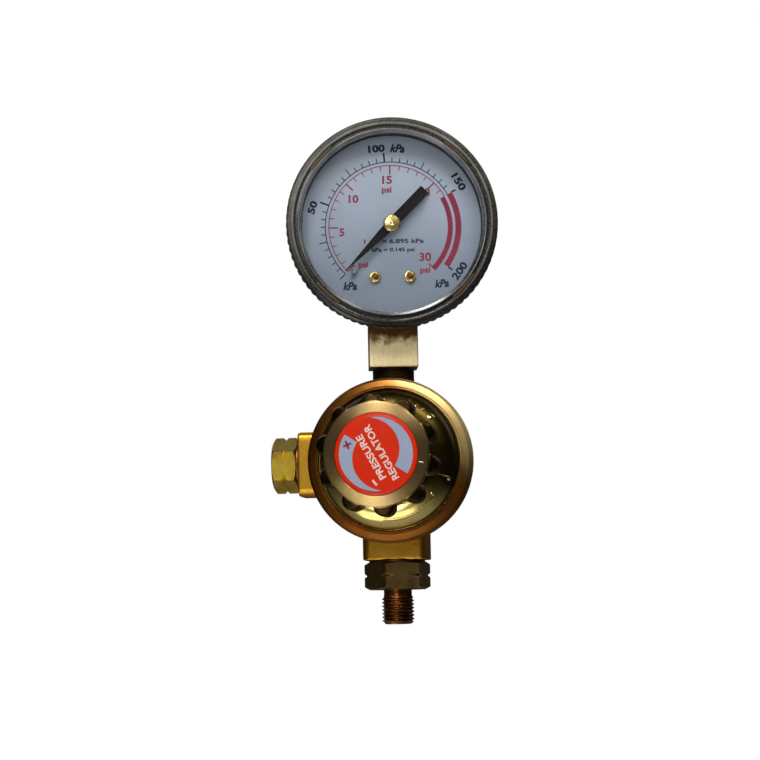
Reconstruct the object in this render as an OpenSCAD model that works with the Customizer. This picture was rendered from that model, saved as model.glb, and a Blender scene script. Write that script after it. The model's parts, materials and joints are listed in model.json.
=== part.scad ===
// Low-pressure gas regulator with a delivery pressure gauge.
// +Z is up, the knob and the dial face -Y, and the gas comes in from -X.
// The origin is the centre of the inlet fitting's mouth.

/* [Body] */
// Width of the inlet and outlet bosses
boss_w = 19; // [18:0.1:20]
// Depth of the bosses from front to back
boss_d = 14.8; // [14:0.1:15.2]
// Distance from the body's centre to the face of the inlet boss
inlet_boss_reach = 28; // [27:0.1:30]
// Distance from the body's centre down to the face of the outlet boss
outlet_boss_reach = 28.6; // [27:0.1:30]
// Height of the gauge boss above the body's centre
gauge_boss_reach = 22.8; // [22:0.1:24]
// Radius of the round body behind the bonnet ring
body_r = 21.5; // [20:0.1:21.8]
// Depth of the body behind the port axes
body_back = 13; // [12:0.1:15]

/* [Fittings] */
// Width across flats of the inlet fitting
inlet_hex_af = 14.3; // [13.5:0.1:15]
// Length of the inlet hexagon
inlet_hex_len = 7.4; // [7:0.1:9]
// Width across flats of the outlet fitting
outlet_hex_af = 17; // [16:0.1:18]
// Length of the outlet hexagon
outlet_hex_len = 8.1; // [7:0.1:9]
// Outer diameter of the outlet thread
outlet_thread_d = 9.525; // [9:0.005:10]
// Length of the outlet nipple below its hexagon
outlet_nipple_len = 10.1; // [9:0.1:12]
// Number of thread turns on the outlet nipple
outlet_turns = 7; // [5:1:7]

/* [Bonnet] */
// Outside radius of the bonnet ring
ring_r = 24; // [23.5:0.1:25]
// Front face of the bonnet ring, in front of the port axes
ring_front = 15.3; // [15:0.1:16]
// Radius of the bonnet's shoulder at the ring
shoulder_r = 20; // [19.6:0.1:20.2]
// Radius of the bonnet's turret
turret_r = 12.2; // [11.5:0.1:12.4]

/* [Knob] */
// Radius of the knob's flat face
knob_face_r = 15; // [14.6:0.1:15.4]
// Radius over the knob's lobes
knob_lobe_tip_r = 17.6; // [17:0.1:18]
// Number of lobes on the knob
knob_lobes = 10; // [8:1:12]
// Front face of the knob, in front of the port axes
knob_front = 45; // [44.8:0.1:46]
// Turn of the first lobe from the knob's right-hand side, in degrees
knob_lobe_turn = 24; // [0:1:35]
// Radius of the round label in the knob's face
label_r = 11.8; // [11:0.1:12]

/* [Gauge] */
// Height of the gauge's centre above the body's centre
gauge_height = 69.5; // [68:0.1:71]
// Turn of the gauge about its threaded stem, in degrees
gauge_turn = 9; // [-15:0.5:15]
// Radius over the gauge's ridged rim
rim_r = 31.2; // [30.9:0.1:31.6]
// Number of ridges round the gauge's rim
rim_ridges = 80; // [60:1:90]
// Radius of the printed dial
dial_r = 26.3; // [26:0.1:26.4]
// Width across flats of the square gauge stem
stem_w = 14.3; // [13.8:0.1:14.5]

/* [Hidden] */
$fn = 96;

// Knob, diaphragm and valve travel
screw_pitch = 1;
knob_turns = 4;

// Ports: one thread size on all three
port_thread_r = 5.1;
port_bore_r = 5.15;
port_depth = 9;
passage_r = 2.2;
gauge_passage_r = 1.5;
cross_hole_z = 13;
boss_corner_r = 2.4;
boss_draft = 0.45;
washer_t = 0.5;
gauge_washer_t = 0.8;

// Inlet fitting
inlet_washer_x = -inlet_boss_reach;
inlet_hex_x = inlet_washer_x - washer_t;
inlet_mouth_x = inlet_hex_x - inlet_hex_len;
inlet_reach = -inlet_mouth_x;
inlet_thread_wall_r = 4.25;
inlet_thread_len = 8;
inlet_hex_turn = 4;
outlet_hex_turn = 17;
notch_depth = 0.95;
notch_half_w = 0.68;

// Outlet fitting, heights below the body's centre
outlet_hex_z = -outlet_boss_reach - washer_t;
outlet_neck_z = outlet_hex_z - outlet_hex_len;
outlet_end_z = outlet_neck_z - outlet_nipple_len;
outlet_neck_r = 4.1;
outlet_neck_len = 1.6;
outlet_thread_r = outlet_thread_d / 2;
outlet_thread_pitch = 25.4 / 24;
outlet_thread_depth = 0.6;
outlet_end_chamfer = 0.6;
outlet_bore_r = 2.2;
outlet_seat_r = 3.3;
crest_w = 0.16;

// Diaphragm stack, distances along Y
seat_y = -11.5;
diaphragm_t = 1;
diaphragm_r = 21.7;
slip_ring_t = 0.3;
bonnet_foot_y = seat_y - diaphragm_t - slip_ring_t;
flange_front_y = bonnet_foot_y - 1.5;
bonnet_flange_r = 21.9;
body_flange_r = 22;
ring_thread_r = 22.05;
ring_lip_r = 20.6;
ring_back_y = -7.8;
chamber_r = 16;
chamber_floor_y = -8;
plate_r = 12;
plate_t = 1.2;
plate_front_y = seat_y - diaphragm_t - plate_t;
rivet_r = 2;
pusher_r = 4;
pusher_t = 1.5;
pusher_back_y = seat_y + pusher_t;

// Bonnet, distances along Y
shoulder_fillet = 7.6;
shoulder_y = -13;
bonnet_wall = 2;
turret_front_y = -37.2;
turret_wall_y = -34;
bonnet_bore_r = 17;
screw_r = 3.95;
screw_bore_r = 4.02;
vent_r = 0.9;
vent_y = -23;

// Spring button, ball and main spring
button_front_y = -33.9;
button_t = 1.9;
button_r = 9.4;
ball_r = 1.6;
ball_y = button_front_y + 0.2;
dimple_depth = ball_r * sqrt(2) + 0.23;
dimple_over = 0.1;
main_spring_r = 7.4;
main_wire_r = 0.65;
main_coils = 8;

// Knob, distances along Y
face_t = 1.4;
knob_back_y = -32.5;
knob_root_r = 14.4;
lobe_r = 2.9;
knob_bore_r = 13.3;
knob_wall_y = turret_front_y - knob_turns * screw_pitch - 0.2;
label_t = 0.8;
label_crown = 0.4;
square_w = 5;
knob_screw_r = 1.5;
knob_screw_head_r = 2.9;
knob_screw_head_t = 1.3;

// Valve, distances along Y
nozzle_r = 3.5;
nozzle_flange_r = 5;
nozzle_flange_t = 0.7;
nozzle_rim_y = 1;
orifice_r = 1.4;
valve_chamber_r = 6.2;
valve_chamber_y = -2;
cap_thread_r = 7.4;
cap_bore_r = 7.45;
cap_bore_y = 5.5;
cap_inner_y = 6.6;
cap_pocket_r = 4.2;
cap_pocket_y = 14.5;
cap_seal_t = 0.8;
cap_hex_af = 17;
cap_hex_len = 5;
cap_hex_y = body_back + cap_seal_t;
seat_gap = 0.02;
seat_t = 1.5;
seat_r = 3.4;
poppet_r = 4.4;
poppet_back_y = 5;
poppet_tail_r = 2;
poppet_tail_y = 11;
pin_r = 0.9;
pin_gap = 0.02;
valve_spring_r = 3.1;
valve_wire_r = 0.4;
valve_coils = 5;

// Gauge, in its own frame: centre of the dial at X = Z = 0, front towards -Y
stem_bottom_z = -gauge_height + gauge_boss_reach + gauge_washer_t;
neck_r = 6.1;
neck_len = 4.2;
square_bottom_z = stem_bottom_z + neck_len;
stem_thread_len = 6.6;
block_top_z = -13.6;
tongue_top_z = -7.2;
case_back_y = 11;
case_wall = 1.2;
case_r = 27.8;
case_flange_r = 30.2;
case_flange_y = -11.2;
case_flange_t = 1.4;
gasket_t = 0.7;
lens_front_y = -15.4;
lens_window_t = 1.6;
lens_skirt_y = -9;
lens_ring_r = 27.2;
ridge_r = 0.55;
dial_front_y = -8.6;
dial_t = 0.5;
dial_hole_r = 1.6;
dial_screw_x = 5.1;
dial_screw_z = -15.5;
dial_screw_head_r = 1.75;
dial_screw_head_t = 0.9;
dial_screw_r = 1.1;
pointer_y = -11.2;
pointer_t = 0.45;
pointer_hub_r = 2.2;
pointer_zero = 225;
pointer_len = 19.6;
pointer_tail_len = 14;
cap_r = 2.5;
stop_angle = 231;
stop_reach = 17.6;

// Gauge movement
tooth_module = 0.25;
pinion_teeth = 8;
sector_ratio = 9;
sector_swing = 30;
pinion_r = tooth_module * pinion_teeth / 2;
sector_r = pinion_r * sector_ratio;
sector_pivot_z = -(pinion_r + sector_r);
tooth_pitch_angle = 360 / (pinion_teeth * sector_ratio);
tooth_addendum = 0.2;
tooth_dedendum = 0.3;
tooth_mid_w = 0.28;
tooth_tip_w = 0.14;
tooth_root_w = 0.42;
sector_y = -4.6;
sector_t = 1.2;
arbor_r = 0.6;
arbor_bore_r = 0.65;
sector_arbor_r = 0.8;
sector_arbor_bore_r = 0.85;
plate_w = 10;
plate_low_z = -13.5;
plate_high_z = 3.6;
movement_plate_t = 0.8;
front_plate_y = -6.4;
back_plate_y = -1.6;
tail_len = 8.2;
link_pin_r = 0.45;
link_y = -3.2;
link_t = 0.7;
tip_pin_x = 9.4;
tip_pin_z = -17.8;
tube_r = 20;
tube_y = 2;
tube_w = 5;
tube_t = 1.6;
tube_wall = 0.35;
tube_start = 249;
tube_end = -35;
tip_turn = 6;
hairspring_y = -2.6;
hairspring_w = 0.4;
hairspring_t = 0.12;
hairspring_turns = 3;
hairspring_in_r = 1.4;
hairspring_gap = 0.55;
tongue_screw_x = 3.6;
tongue_screw_z = -8.6;
stem_cross_z = -18.6;
stop_height = 2.8;
blowout_z = 14;
blowout_r = 4;

// ---- Placing and shared shapes ----

// Moves from the body's centre to the origin at the inlet's mouth.
module at_body() translate([inlet_reach, 0, 0]) children();

// Moves from the dial's centre to its place above the body.
module at_gauge()
    at_body() translate([0, 0, gauge_height]) rotate([0, 0, gauge_turn]) children();

// Cylinder along Y from y0 back to y1.
module y_cyl(r, y0, y1)
    translate([0, y0, 0]) rotate([-90, 0, 0]) cylinder(r = r, h = y1 - y0);

// Cylinder along X from x0 to x1.
module x_cyl(r, x0, x1)
    translate([x0, 0, 0]) rotate([0, 90, 0]) cylinder(r = r, h = x1 - x0);

// Cylinder along Z from z0 to z1.
module z_cyl(r, z0, z1)
    translate([0, 0, z0]) cylinder(r = r, h = z1 - z0);

// Ring along Y.
module y_ring(r_out, r_in, y0, y1)
    difference() {
        y_cyl(r_out, y0, y1);
        y_cyl(r_in, y0 - 1, y1 + 1);
    }

// Turns a profile of [radius, y] points about the Y axis.
module lathe_y() rotate([-90, 0, 0]) rotate_extrude() children();

// Extrudes a front-view outline from y0 back to y1.
module plate(y0, y1)
    translate([0, y1, 0]) rotate([90, 0, 0]) linear_extrude(y1 - y0) children();

// Rectangle with round corners.
module round_rect(w, h, r) {
    square([w - 2 * r, h], center = true);
    square([w, h - 2 * r], center = true);
    for (x = [-1, 1], y = [-1, 1])
        translate([x * (w / 2 - r), y * (h / 2 - r)]) circle(r);
}

// Hexagon bar along Z with chamfered ends; a notch round its middle marks a left-hand thread.
module hex_bar(af, len, turn, notched) {
    corner_r = af / sqrt(3);
    cut = corner_r - af / 2 + 0.25;
    slope = cut * 0.55;
    mid = len / 2;
    rotate([0, 0, turn]) difference() {
        cylinder(r = corner_r, h = len, $fn = 6);
        difference() {
            translate([0, 0, -1]) cylinder(r = corner_r + 1, h = len + 2);
            rotate_extrude()
                polygon([[0, 0], [corner_r - cut, 0], [corner_r, slope],
                    [corner_r, len - slope], [corner_r - cut, len], [0, len]]);
        }
        if (notched)
            rotate_extrude()
                polygon([[corner_r - notch_depth, mid], [corner_r + notch_depth, mid - 2 * notch_half_w],
                    [corner_r + notch_depth, mid + 2 * notch_half_w]]);
    }
}

// Helical coil along Z from z0 to z1, with its ends flat-wound.
function coil_z(t, z0, z1, wire_r, coils) =
    let (rise = z1 - z0 - 2 * wire_r, u = min(max((t * coils - 0.75) / (coils - 1.5), 0), 1))
    z0 + wire_r + rise * u;
module coil(r, wire_r, z0, z1, coils) {
    steps = 18;
    sides = 8;
    last = steps * coils;
    rings = [for (i = [0:last], s = [0:sides - 1])
        let (a = 360 * i / steps, b = 360 * s / sides, rr = r + wire_r * cos(b))
        [rr * cos(a), rr * sin(a), coil_z(i / last, z0, z1, wire_r, coils) + wire_r * sin(b)]];
    skins = [for (i = [0:last - 1], s = [0:sides - 1])
        let (p = i * sides + s, q = i * sides + (s + 1) % sides)
        [p, p + sides, q + sides, q]];
    ends = [[for (s = [0:sides - 1]) s],
        [for (s = [sides - 1:-1:0]) last * sides + s]];
    polyhedron(points = rings, faces = concat(skins, ends), convexity = 6);
}

// ---- Regulator body and fittings ----

// Forged body: a round housing with three bosses and a rear boss.
module regulator_body()
    color([0.62, 0.48, 0.2]) at_body() difference() {
        union() {
            y_cyl(body_flange_r, seat_y, ring_back_y);
            lathe_y() polygon([[0, ring_back_y], [body_r, ring_back_y], [body_r, 2.5],
                [body_r - 1.5, 4.5], [13.5, 8.5], [12.4, 10], [12.4, body_back - 0.6],
                [11.8, body_back], [0, body_back]]);
            rotate([0, -90, 0]) linear_extrude(inlet_boss_reach)
                round_rect(boss_w, boss_d, boss_corner_r);
            rotate([180, 0, 0]) linear_extrude(outlet_boss_reach) {
                round_rect(boss_w, boss_d - 2 * boss_draft, boss_corner_r);
                polygon([[boss_corner_r - boss_w / 2, boss_draft - boss_d / 2], [0, -boss_d / 2],
                    [boss_w / 2 - boss_corner_r, boss_draft - boss_d / 2],
                    [boss_w / 2 - boss_corner_r, boss_d / 2 - boss_draft], [0, boss_d / 2],
                    [boss_corner_r - boss_w / 2, boss_d / 2 - boss_draft]]);
            }
            z_cyl(boss_d / 2, 0, gauge_boss_reach);
        }
        y_cyl(chamber_r, seat_y - 1, chamber_floor_y);
        y_cyl(nozzle_r + 0.02, chamber_floor_y - 1, valve_chamber_y + 1);
        y_cyl(valve_chamber_r, valve_chamber_y, cap_bore_y + 1);
        y_cyl(cap_bore_r, cap_bore_y, body_back + 1);
        x_cyl(port_bore_r, -inlet_boss_reach - 1, -inlet_boss_reach + port_depth);
        x_cyl(passage_r, -inlet_boss_reach, 0);
        z_cyl(port_bore_r, -outlet_boss_reach - 1, -outlet_boss_reach + port_depth);
        z_cyl(passage_r, -outlet_boss_reach, -cross_hole_z + passage_r);
        translate([0, 0, -cross_hole_z]) y_cyl(passage_r, chamber_floor_y - 1, 0);
        z_cyl(port_bore_r, gauge_boss_reach - port_depth + 1, gauge_boss_reach + 1);
        z_cyl(gauge_passage_r, cross_hole_z - gauge_passage_r, gauge_boss_reach);
        translate([0, 0, cross_hole_z]) y_cyl(gauge_passage_r, chamber_floor_y - 1, 0);
    }

// Inlet fitting: left-hand female thread in a notched hexagon.
module inlet_fitting()
    color([0.5, 0.4, 0.16]) at_body() difference() {
        union() {
            translate([inlet_mouth_x, 0, 0]) rotate([0, 90, 0])
                hex_bar(inlet_hex_af, inlet_hex_len, inlet_hex_turn, true);
            x_cyl(port_thread_r, inlet_hex_x - 1, -inlet_boss_reach + port_depth - 0.5);
        }
        x_cyl(inlet_thread_wall_r, inlet_mouth_x - 1, inlet_mouth_x + inlet_thread_len);
        x_cyl(passage_r, inlet_mouth_x, 0);
    }

// Soft washer under the inlet hexagon.
module inlet_washer()
    color([0.72, 0.42, 0.25]) at_body() difference() {
        x_cyl(inlet_hex_af / 2 - 0.1, inlet_hex_x, inlet_washer_x);
        x_cyl(port_bore_r, inlet_hex_x - 1, inlet_washer_x + 1);
    }

// Sintered filter disc behind the inlet passage.
module inlet_filter()
    color([0.7, 0.55, 0.35]) at_body()
        x_cyl(passage_r - 0.05, inlet_mouth_x + inlet_thread_len + 0.5,
            inlet_mouth_x + inlet_thread_len + 3.5);

// Outlet fitting: notched hexagon with a left-hand hose nipple.
module outlet_fitting()
    color([0.5, 0.4, 0.16]) at_body() difference() {
        union() {
            translate([0, 0, outlet_neck_z])
                hex_bar(outlet_hex_af, outlet_hex_len, outlet_hex_turn, true);
            z_cyl(port_thread_r, outlet_hex_z - 1, -outlet_boss_reach + port_depth - 0.5);
            outlet_nipple();
        }
        z_cyl(outlet_bore_r, outlet_neck_z - 1, 0);
    }

// Nipple: neck, thread turns as ridges with narrow crests, end chamfer and cone seat.
module outlet_nipple() {
    root_r = outlet_thread_r - outlet_thread_depth;
    first_z = outlet_end_z + outlet_end_chamfer + outlet_thread_pitch / 2;
    turns = [for (i = [0:outlet_turns - 1])
        let (z = first_z + i * outlet_thread_pitch)
        each [[root_r, z - outlet_thread_pitch / 2 + 0.1], [outlet_thread_r, z - crest_w / 2],
            [outlet_thread_r, z + crest_w / 2], [root_r, z + outlet_thread_pitch / 2 - 0.1]]];
    rotate_extrude()
        polygon(concat([[outlet_bore_r, outlet_neck_z + 1],
            [outlet_bore_r, outlet_end_z + outlet_seat_r - outlet_bore_r],
            [outlet_seat_r, outlet_end_z], [root_r - 0.4, outlet_end_z],
            [root_r, outlet_end_z + 0.4]], turns,
            [[outlet_neck_r, outlet_neck_z - outlet_neck_len], [outlet_neck_r, outlet_neck_z + 1]]));
}

// Soft washer above the outlet hexagon.
module outlet_washer()
    color([0.72, 0.42, 0.25]) at_body() difference() {
        z_cyl(outlet_hex_af / 2 - 0.3, outlet_hex_z, -outlet_boss_reach);
        z_cyl(port_bore_r, outlet_hex_z - 1, -outlet_boss_reach + 1);
    }

// ---- Valve ----

// Screwed-in nozzle whose rear rim is the valve's seat edge.
module valve_nozzle()
    color([0.8, 0.68, 0.36]) at_body() difference() {
        union() {
            y_cyl(nozzle_r, chamber_floor_y, nozzle_rim_y - 0.8);
            y_cyl(nozzle_flange_r, chamber_floor_y - nozzle_flange_t, chamber_floor_y);
            y_cyl(orifice_r + 0.7, nozzle_rim_y - 1, nozzle_rim_y);
        }
        y_cyl(orifice_r, chamber_floor_y - 2, nozzle_rim_y + 1);
    }

// Poppet with a thin push pin through the nozzle and a tail that guides its spring.
module valve_poppet()
    color([0.75, 0.75, 0.72]) at_body() {
        y_cyl(pin_r, pusher_back_y + pin_gap, nozzle_rim_y + seat_gap + seat_t);
        y_cyl(poppet_r, nozzle_rim_y + seat_gap + seat_t, poppet_back_y);
        y_cyl(poppet_tail_r, poppet_back_y - 1, poppet_tail_y);
    }

// Rubber seat disc on the poppet's front face.
module valve_seat()
    color([0.12, 0.12, 0.12]) at_body()
        y_ring(seat_r, pin_r, nozzle_rim_y + seat_gap, nozzle_rim_y + seat_gap + seat_t);

// Light spring that closes the valve.
module valve_spring()
    color([0.7, 0.7, 0.72]) at_body() translate([0, poppet_back_y, 0]) rotate([-90, 0, 0])
        coil(valve_spring_r, valve_wire_r, 0.02, cap_pocket_y - poppet_back_y - 0.02, valve_coils);

// Rear cap: threaded plug with a hexagon head and a pocket for the valve spring.
module rear_cap()
    color([0.62, 0.48, 0.2]) at_body() difference() {
        union() {
            y_cyl(cap_thread_r, cap_inner_y, cap_hex_y + 1);
            translate([0, cap_hex_y, 0]) rotate([-90, 0, 0])
                hex_bar(cap_hex_af, cap_hex_len, 0, false);
        }
        y_cyl(cap_pocket_r, cap_inner_y - 1, cap_pocket_y);
    }

// Sealing ring under the rear cap's head.
module rear_cap_seal()
    color([0.72, 0.42, 0.25]) at_body()
        y_ring(cap_hex_af / 2 - 0.2, cap_bore_r, body_back, cap_hex_y);

// ---- Diaphragm and adjusting parts ----

// Rubber diaphragm, clamped at its rim, with a hole for the rivet.
module diaphragm()
    color([0.1, 0.1, 0.1]) at_body()
        y_ring(diaphragm_r, rivet_r + 0.02, seat_y - diaphragm_t, seat_y);

// Backing plate in front of the diaphragm, with a rim that centres the main spring.
module diaphragm_plate()
    color([0.75, 0.75, 0.72]) at_body() difference() {
        union() {
            y_cyl(plate_r, plate_front_y, seat_y - diaphragm_t);
            y_cyl(main_spring_r - main_wire_r - 0.3, plate_front_y - 1.2, plate_front_y + 0.1);
        }
        y_cyl(rivet_r + 0.02, plate_front_y - 3, seat_y);
    }

// Rivet and pusher: holds the plate to the diaphragm and presses the poppet's pin.
module diaphragm_pusher()
    color([0.8, 0.68, 0.36]) at_body() {
        y_cyl(rivet_r, plate_front_y - 1.2, seat_y + 0.1);
        y_cyl(rivet_r + 1.4, plate_front_y - 2, plate_front_y - 1.2);
        y_cyl(pusher_r, seat_y, pusher_back_y);
    }

// Thin ring that lets the bonnet turn down without wrinkling the diaphragm.
module slip_ring()
    color([0.85, 0.83, 0.75]) at_body()
        y_ring(diaphragm_r, bonnet_bore_r, bonnet_foot_y, seat_y - diaphragm_t);

// Main spring between the spring button and the diaphragm plate.
module main_spring()
    color([0.6, 0.6, 0.62]) at_body() translate([0, button_front_y + button_t, 0])
        rotate([-90, 0, 0])
            coil(main_spring_r, main_wire_r, 0.02,
                plate_front_y - button_front_y - button_t - 0.02, main_coils);

// Spring button with a dimple for the thrust ball.
module spring_button()
    color([0.75, 0.75, 0.72]) at_body() difference() {
        union() {
            y_cyl(button_r, button_front_y, button_front_y + button_t);
            y_cyl(main_spring_r - main_wire_r - 0.3, button_front_y + button_t - 0.1,
                button_front_y + button_t + 1.2);
        }
        translate([0, button_front_y - dimple_over, 0]) rotate([-90, 0, 0])
            cylinder(r1 = dimple_depth + dimple_over, r2 = 0, h = dimple_depth + dimple_over);
    }

// Steel ball between the screw and the spring button.
module thrust_ball()
    color([0.8, 0.8, 0.82]) at_body() translate([0, ball_y, 0]) sphere(ball_r);

// Bell-shaped bonnet: flange, round shoulder and turret with the screw's bore.
module bonnet()
    color([0.6, 0.52, 0.2]) at_body() difference() {
        lathe_y() {
            translate([0, flange_front_y]) square([bonnet_flange_r, bonnet_foot_y - flange_front_y]);
            intersection() {
                translate([shoulder_r - shoulder_fillet, shoulder_y]) circle(shoulder_fillet);
                translate([0, shoulder_y - shoulder_fillet - 1])
                    square([shoulder_r + 1, shoulder_fillet + 1.1]);
            }
            translate([0, shoulder_y - shoulder_fillet])
                square([shoulder_r - shoulder_fillet, shoulder_fillet + 0.1]);
            translate([0, turret_front_y]) square([turret_r, -turret_front_y + shoulder_y]);
        }
        lathe_y() {
            translate([0, turret_wall_y]) square([turret_r - bonnet_wall, -turret_wall_y]);
            intersection() {
                translate([shoulder_r - shoulder_fillet, shoulder_y])
                    circle(shoulder_fillet - bonnet_wall);
                translate([0, shoulder_y - shoulder_fillet])
                    square([shoulder_r, shoulder_fillet]);
            }
            translate([0, shoulder_y]) square([bonnet_bore_r, -shoulder_y]);
        }
        y_cyl(screw_bore_r, turret_front_y - 1, 0);
        translate([0, vent_y, 0]) z_cyl(vent_r, -turret_r - 1, 0);
    }

// Ring nut that clamps the bonnet and the diaphragm to the body.
module bonnet_ring()
    color([0.6, 0.42, 0.24]) at_body() lathe_y()
        polygon([[ring_lip_r, -ring_front], [ring_r - 0.9, -ring_front],
            [ring_r, -ring_front + 0.9], [ring_r, ring_back_y - 0.5],
            [ring_r - 0.5, ring_back_y], [ring_thread_r, ring_back_y],
            [ring_thread_r, flange_front_y], [ring_lip_r, flange_front_y]]);

// Adjusting screw with a square front end for the knob.
module adjusting_screw()
    color([0.72, 0.6, 0.32]) at_body() difference() {
        union() {
            y_cyl(screw_r, knob_wall_y + 0.02, button_front_y - ball_r + 0.4);
            plate(-knob_front + label_t + knob_screw_head_t + 0.1, knob_wall_y + 0.1)
                square(square_w, center = true);
        }
        translate([0, ball_y, 0]) sphere(ball_r + 0.02);
        y_cyl(knob_screw_r, -knob_front, knob_wall_y + 4.1);
    }

// Knob: flat-faced brass cap with round lobes and a recess for the label.
module knob()
    color([0.6, 0.5, 0.25]) at_body() difference() {
        union() {
            y_cyl(knob_face_r, -knob_front, -knob_front + face_t);
            plate(-knob_front + face_t - 0.1, knob_back_y) {
                circle(knob_root_r);
                for (i = [0:knob_lobes - 1])
                    rotate(knob_lobe_turn + i * 360 / knob_lobes)
                        translate([knob_lobe_tip_r - lobe_r, 0]) circle(lobe_r);
            }
        }
        y_cyl(knob_bore_r, knob_wall_y, knob_back_y + 1);
        y_cyl(label_r + 0.05, -knob_front - 1, -knob_front + label_t);
        y_cyl(knob_screw_head_r + 0.1, -knob_front, -knob_front + label_t + knob_screw_head_t);
        plate(-knob_front, knob_wall_y + 1) square(square_w + 0.04, center = true);
    }

// Screw that holds the knob on the adjusting screw, under the label.
module knob_screw()
    color([0.7, 0.7, 0.72]) at_body() {
        y_cyl(knob_screw_head_r, -knob_front + label_t + 0.05,
            -knob_front + label_t + knob_screw_head_t);
        y_cyl(knob_screw_r - 0.02, -knob_front + label_t + 0.5, knob_wall_y + 4);
    }

// Round label, slightly domed, in the knob's face.
module knob_label()
    color([0.7, 0.12, 0.05]) at_body() lathe_y()
        polygon([[0, -knob_front - label_crown], [label_r * 0.6, -knob_front - label_crown * 0.75],
            [label_r - 0.5, -knob_front - 0.1], [label_r, -knob_front + 0.1],
            [label_r, -knob_front + label_t], [0, -knob_front + label_t]]);

// ---- Gauge case, stem and dial ----

// Sealing washer under the gauge's stem.
module gauge_washer()
    color([0.72, 0.42, 0.25]) at_body() difference() {
        z_cyl(boss_d / 2 - 0.4, gauge_boss_reach, gauge_boss_reach + gauge_washer_t);
        z_cyl(port_bore_r, gauge_boss_reach - 1, gauge_boss_reach + gauge_washer_t + 1);
    }

// Square brass stem with a turned neck, a threaded end and the block inside the case.
module gauge_stem()
    color([0.85, 0.76, 0.48]) at_gauge() difference() {
        union() {
            z_cyl(neck_r, stem_bottom_z, square_bottom_z + 0.1);
            z_cyl(port_thread_r, stem_bottom_z - stem_thread_len, stem_bottom_z + 1);
            translate([-stem_w / 2, -stem_w / 2, square_bottom_z])
                cube([stem_w, stem_w, block_top_z - square_bottom_z]);
            translate([-stem_w / 2, back_plate_y + movement_plate_t, block_top_z - 1])
                cube([stem_w, 5, tongue_top_z - block_top_z + 1]);
            for (x = [-dial_screw_x, dial_screw_x])
                translate([x, 0, dial_screw_z])
                    y_cyl(1.9, dial_front_y + dial_t, case_back_y - case_wall);
        }
        z_cyl(gauge_passage_r, stem_bottom_z - stem_thread_len - 1, stem_cross_z + 1);
        translate([0, tube_y, stem_cross_z]) x_cyl(1, -stem_w / 2 - 1, 0);
        z_cyl(gauge_passage_r + 0.9, stem_bottom_z - stem_thread_len - 1,
            stem_bottom_z - stem_thread_len + 3);
        for (x = [-dial_screw_x, dial_screw_x]) translate([x, 0, dial_screw_z]) {
            y_cyl(dial_screw_r + 0.02, dial_front_y - 1, -3);
            y_cyl(1.42, 4, case_back_y + 1);
        }
        for (x = [-tongue_screw_x, tongue_screw_x]) translate([x, 0, tongue_screw_z])
            y_cyl(0.72, back_plate_y - 1, 3.5);
        translate([0, 0, sector_pivot_z])
            y_cyl(sector_arbor_bore_r + 0.2, back_plate_y, back_plate_y + 2.2);
    }

// Restrictor screw that damps the gauge.
module gauge_restrictor()
    color([0.7, 0.7, 0.72]) at_gauge() difference() {
        z_cyl(gauge_passage_r + 0.88, stem_bottom_z - stem_thread_len + 0.3,
            stem_bottom_z - stem_thread_len + 2.9);
        z_cyl(0.3, stem_bottom_z - stem_thread_len, stem_bottom_z - stem_thread_len + 4);
    }

// Cup-shaped case with a front flange and a square cut-out for the stem.
module gauge_case()
    color([0.06, 0.06, 0.06]) at_gauge() difference() {
        union() {
            lathe_y() polygon([[0, case_back_y], [case_r - 1.2, case_back_y],
                [case_r, case_back_y - 1.2], [case_r, case_flange_y + case_flange_t],
                [case_flange_r, case_flange_y + case_flange_t], [case_flange_r, case_flange_y],
                [0, case_flange_y]]);
        }
        y_cyl(case_r - case_wall, case_flange_y - 1, case_back_y - case_wall);
        translate([-stem_w / 2 - 0.1, -stem_w / 2 - 0.1, -case_r - 3])
            cube([stem_w + 0.2, stem_w + 0.2, 8]);
        for (x = [-dial_screw_x, dial_screw_x])
            translate([x, 0, dial_screw_z]) y_cyl(1.6, 0, case_back_y + 1);
        translate([0, 0, blowout_z]) y_cyl(blowout_r, 0, case_back_y + 1);
    }

// Screws that hold the case to the stem's block from behind.
module case_screws()
    color([0.6, 0.6, 0.62]) at_gauge()
        for (x = [-dial_screw_x, dial_screw_x]) translate([x, 0, dial_screw_z])
            difference() {
                union() {
                    y_cyl(1.4, 5, case_back_y + 0.5);
                    y_cyl(2.5, case_back_y, case_back_y + 1.4);
                }
                translate([0, case_back_y + 1.2, 0]) cube([0.6, 1.4, 6], center = true);
            }

// Rubber blow-out plug in the back of the case.
module blowout_plug()
    color([0.12, 0.12, 0.12]) at_gauge() translate([0, 0, blowout_z]) {
        y_cyl(blowout_r - 0.02, case_back_y - case_wall - 0.4, case_back_y + 0.1);
        y_cyl(blowout_r + 1, case_back_y, case_back_y + 0.8);
    }

// Gasket between the case's flange and the lens.
module lens_gasket()
    color([0.1, 0.1, 0.1]) at_gauge()
        y_ring(case_flange_r - 0.3, case_r - 0.4, case_flange_y - gasket_t, case_flange_y);

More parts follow.
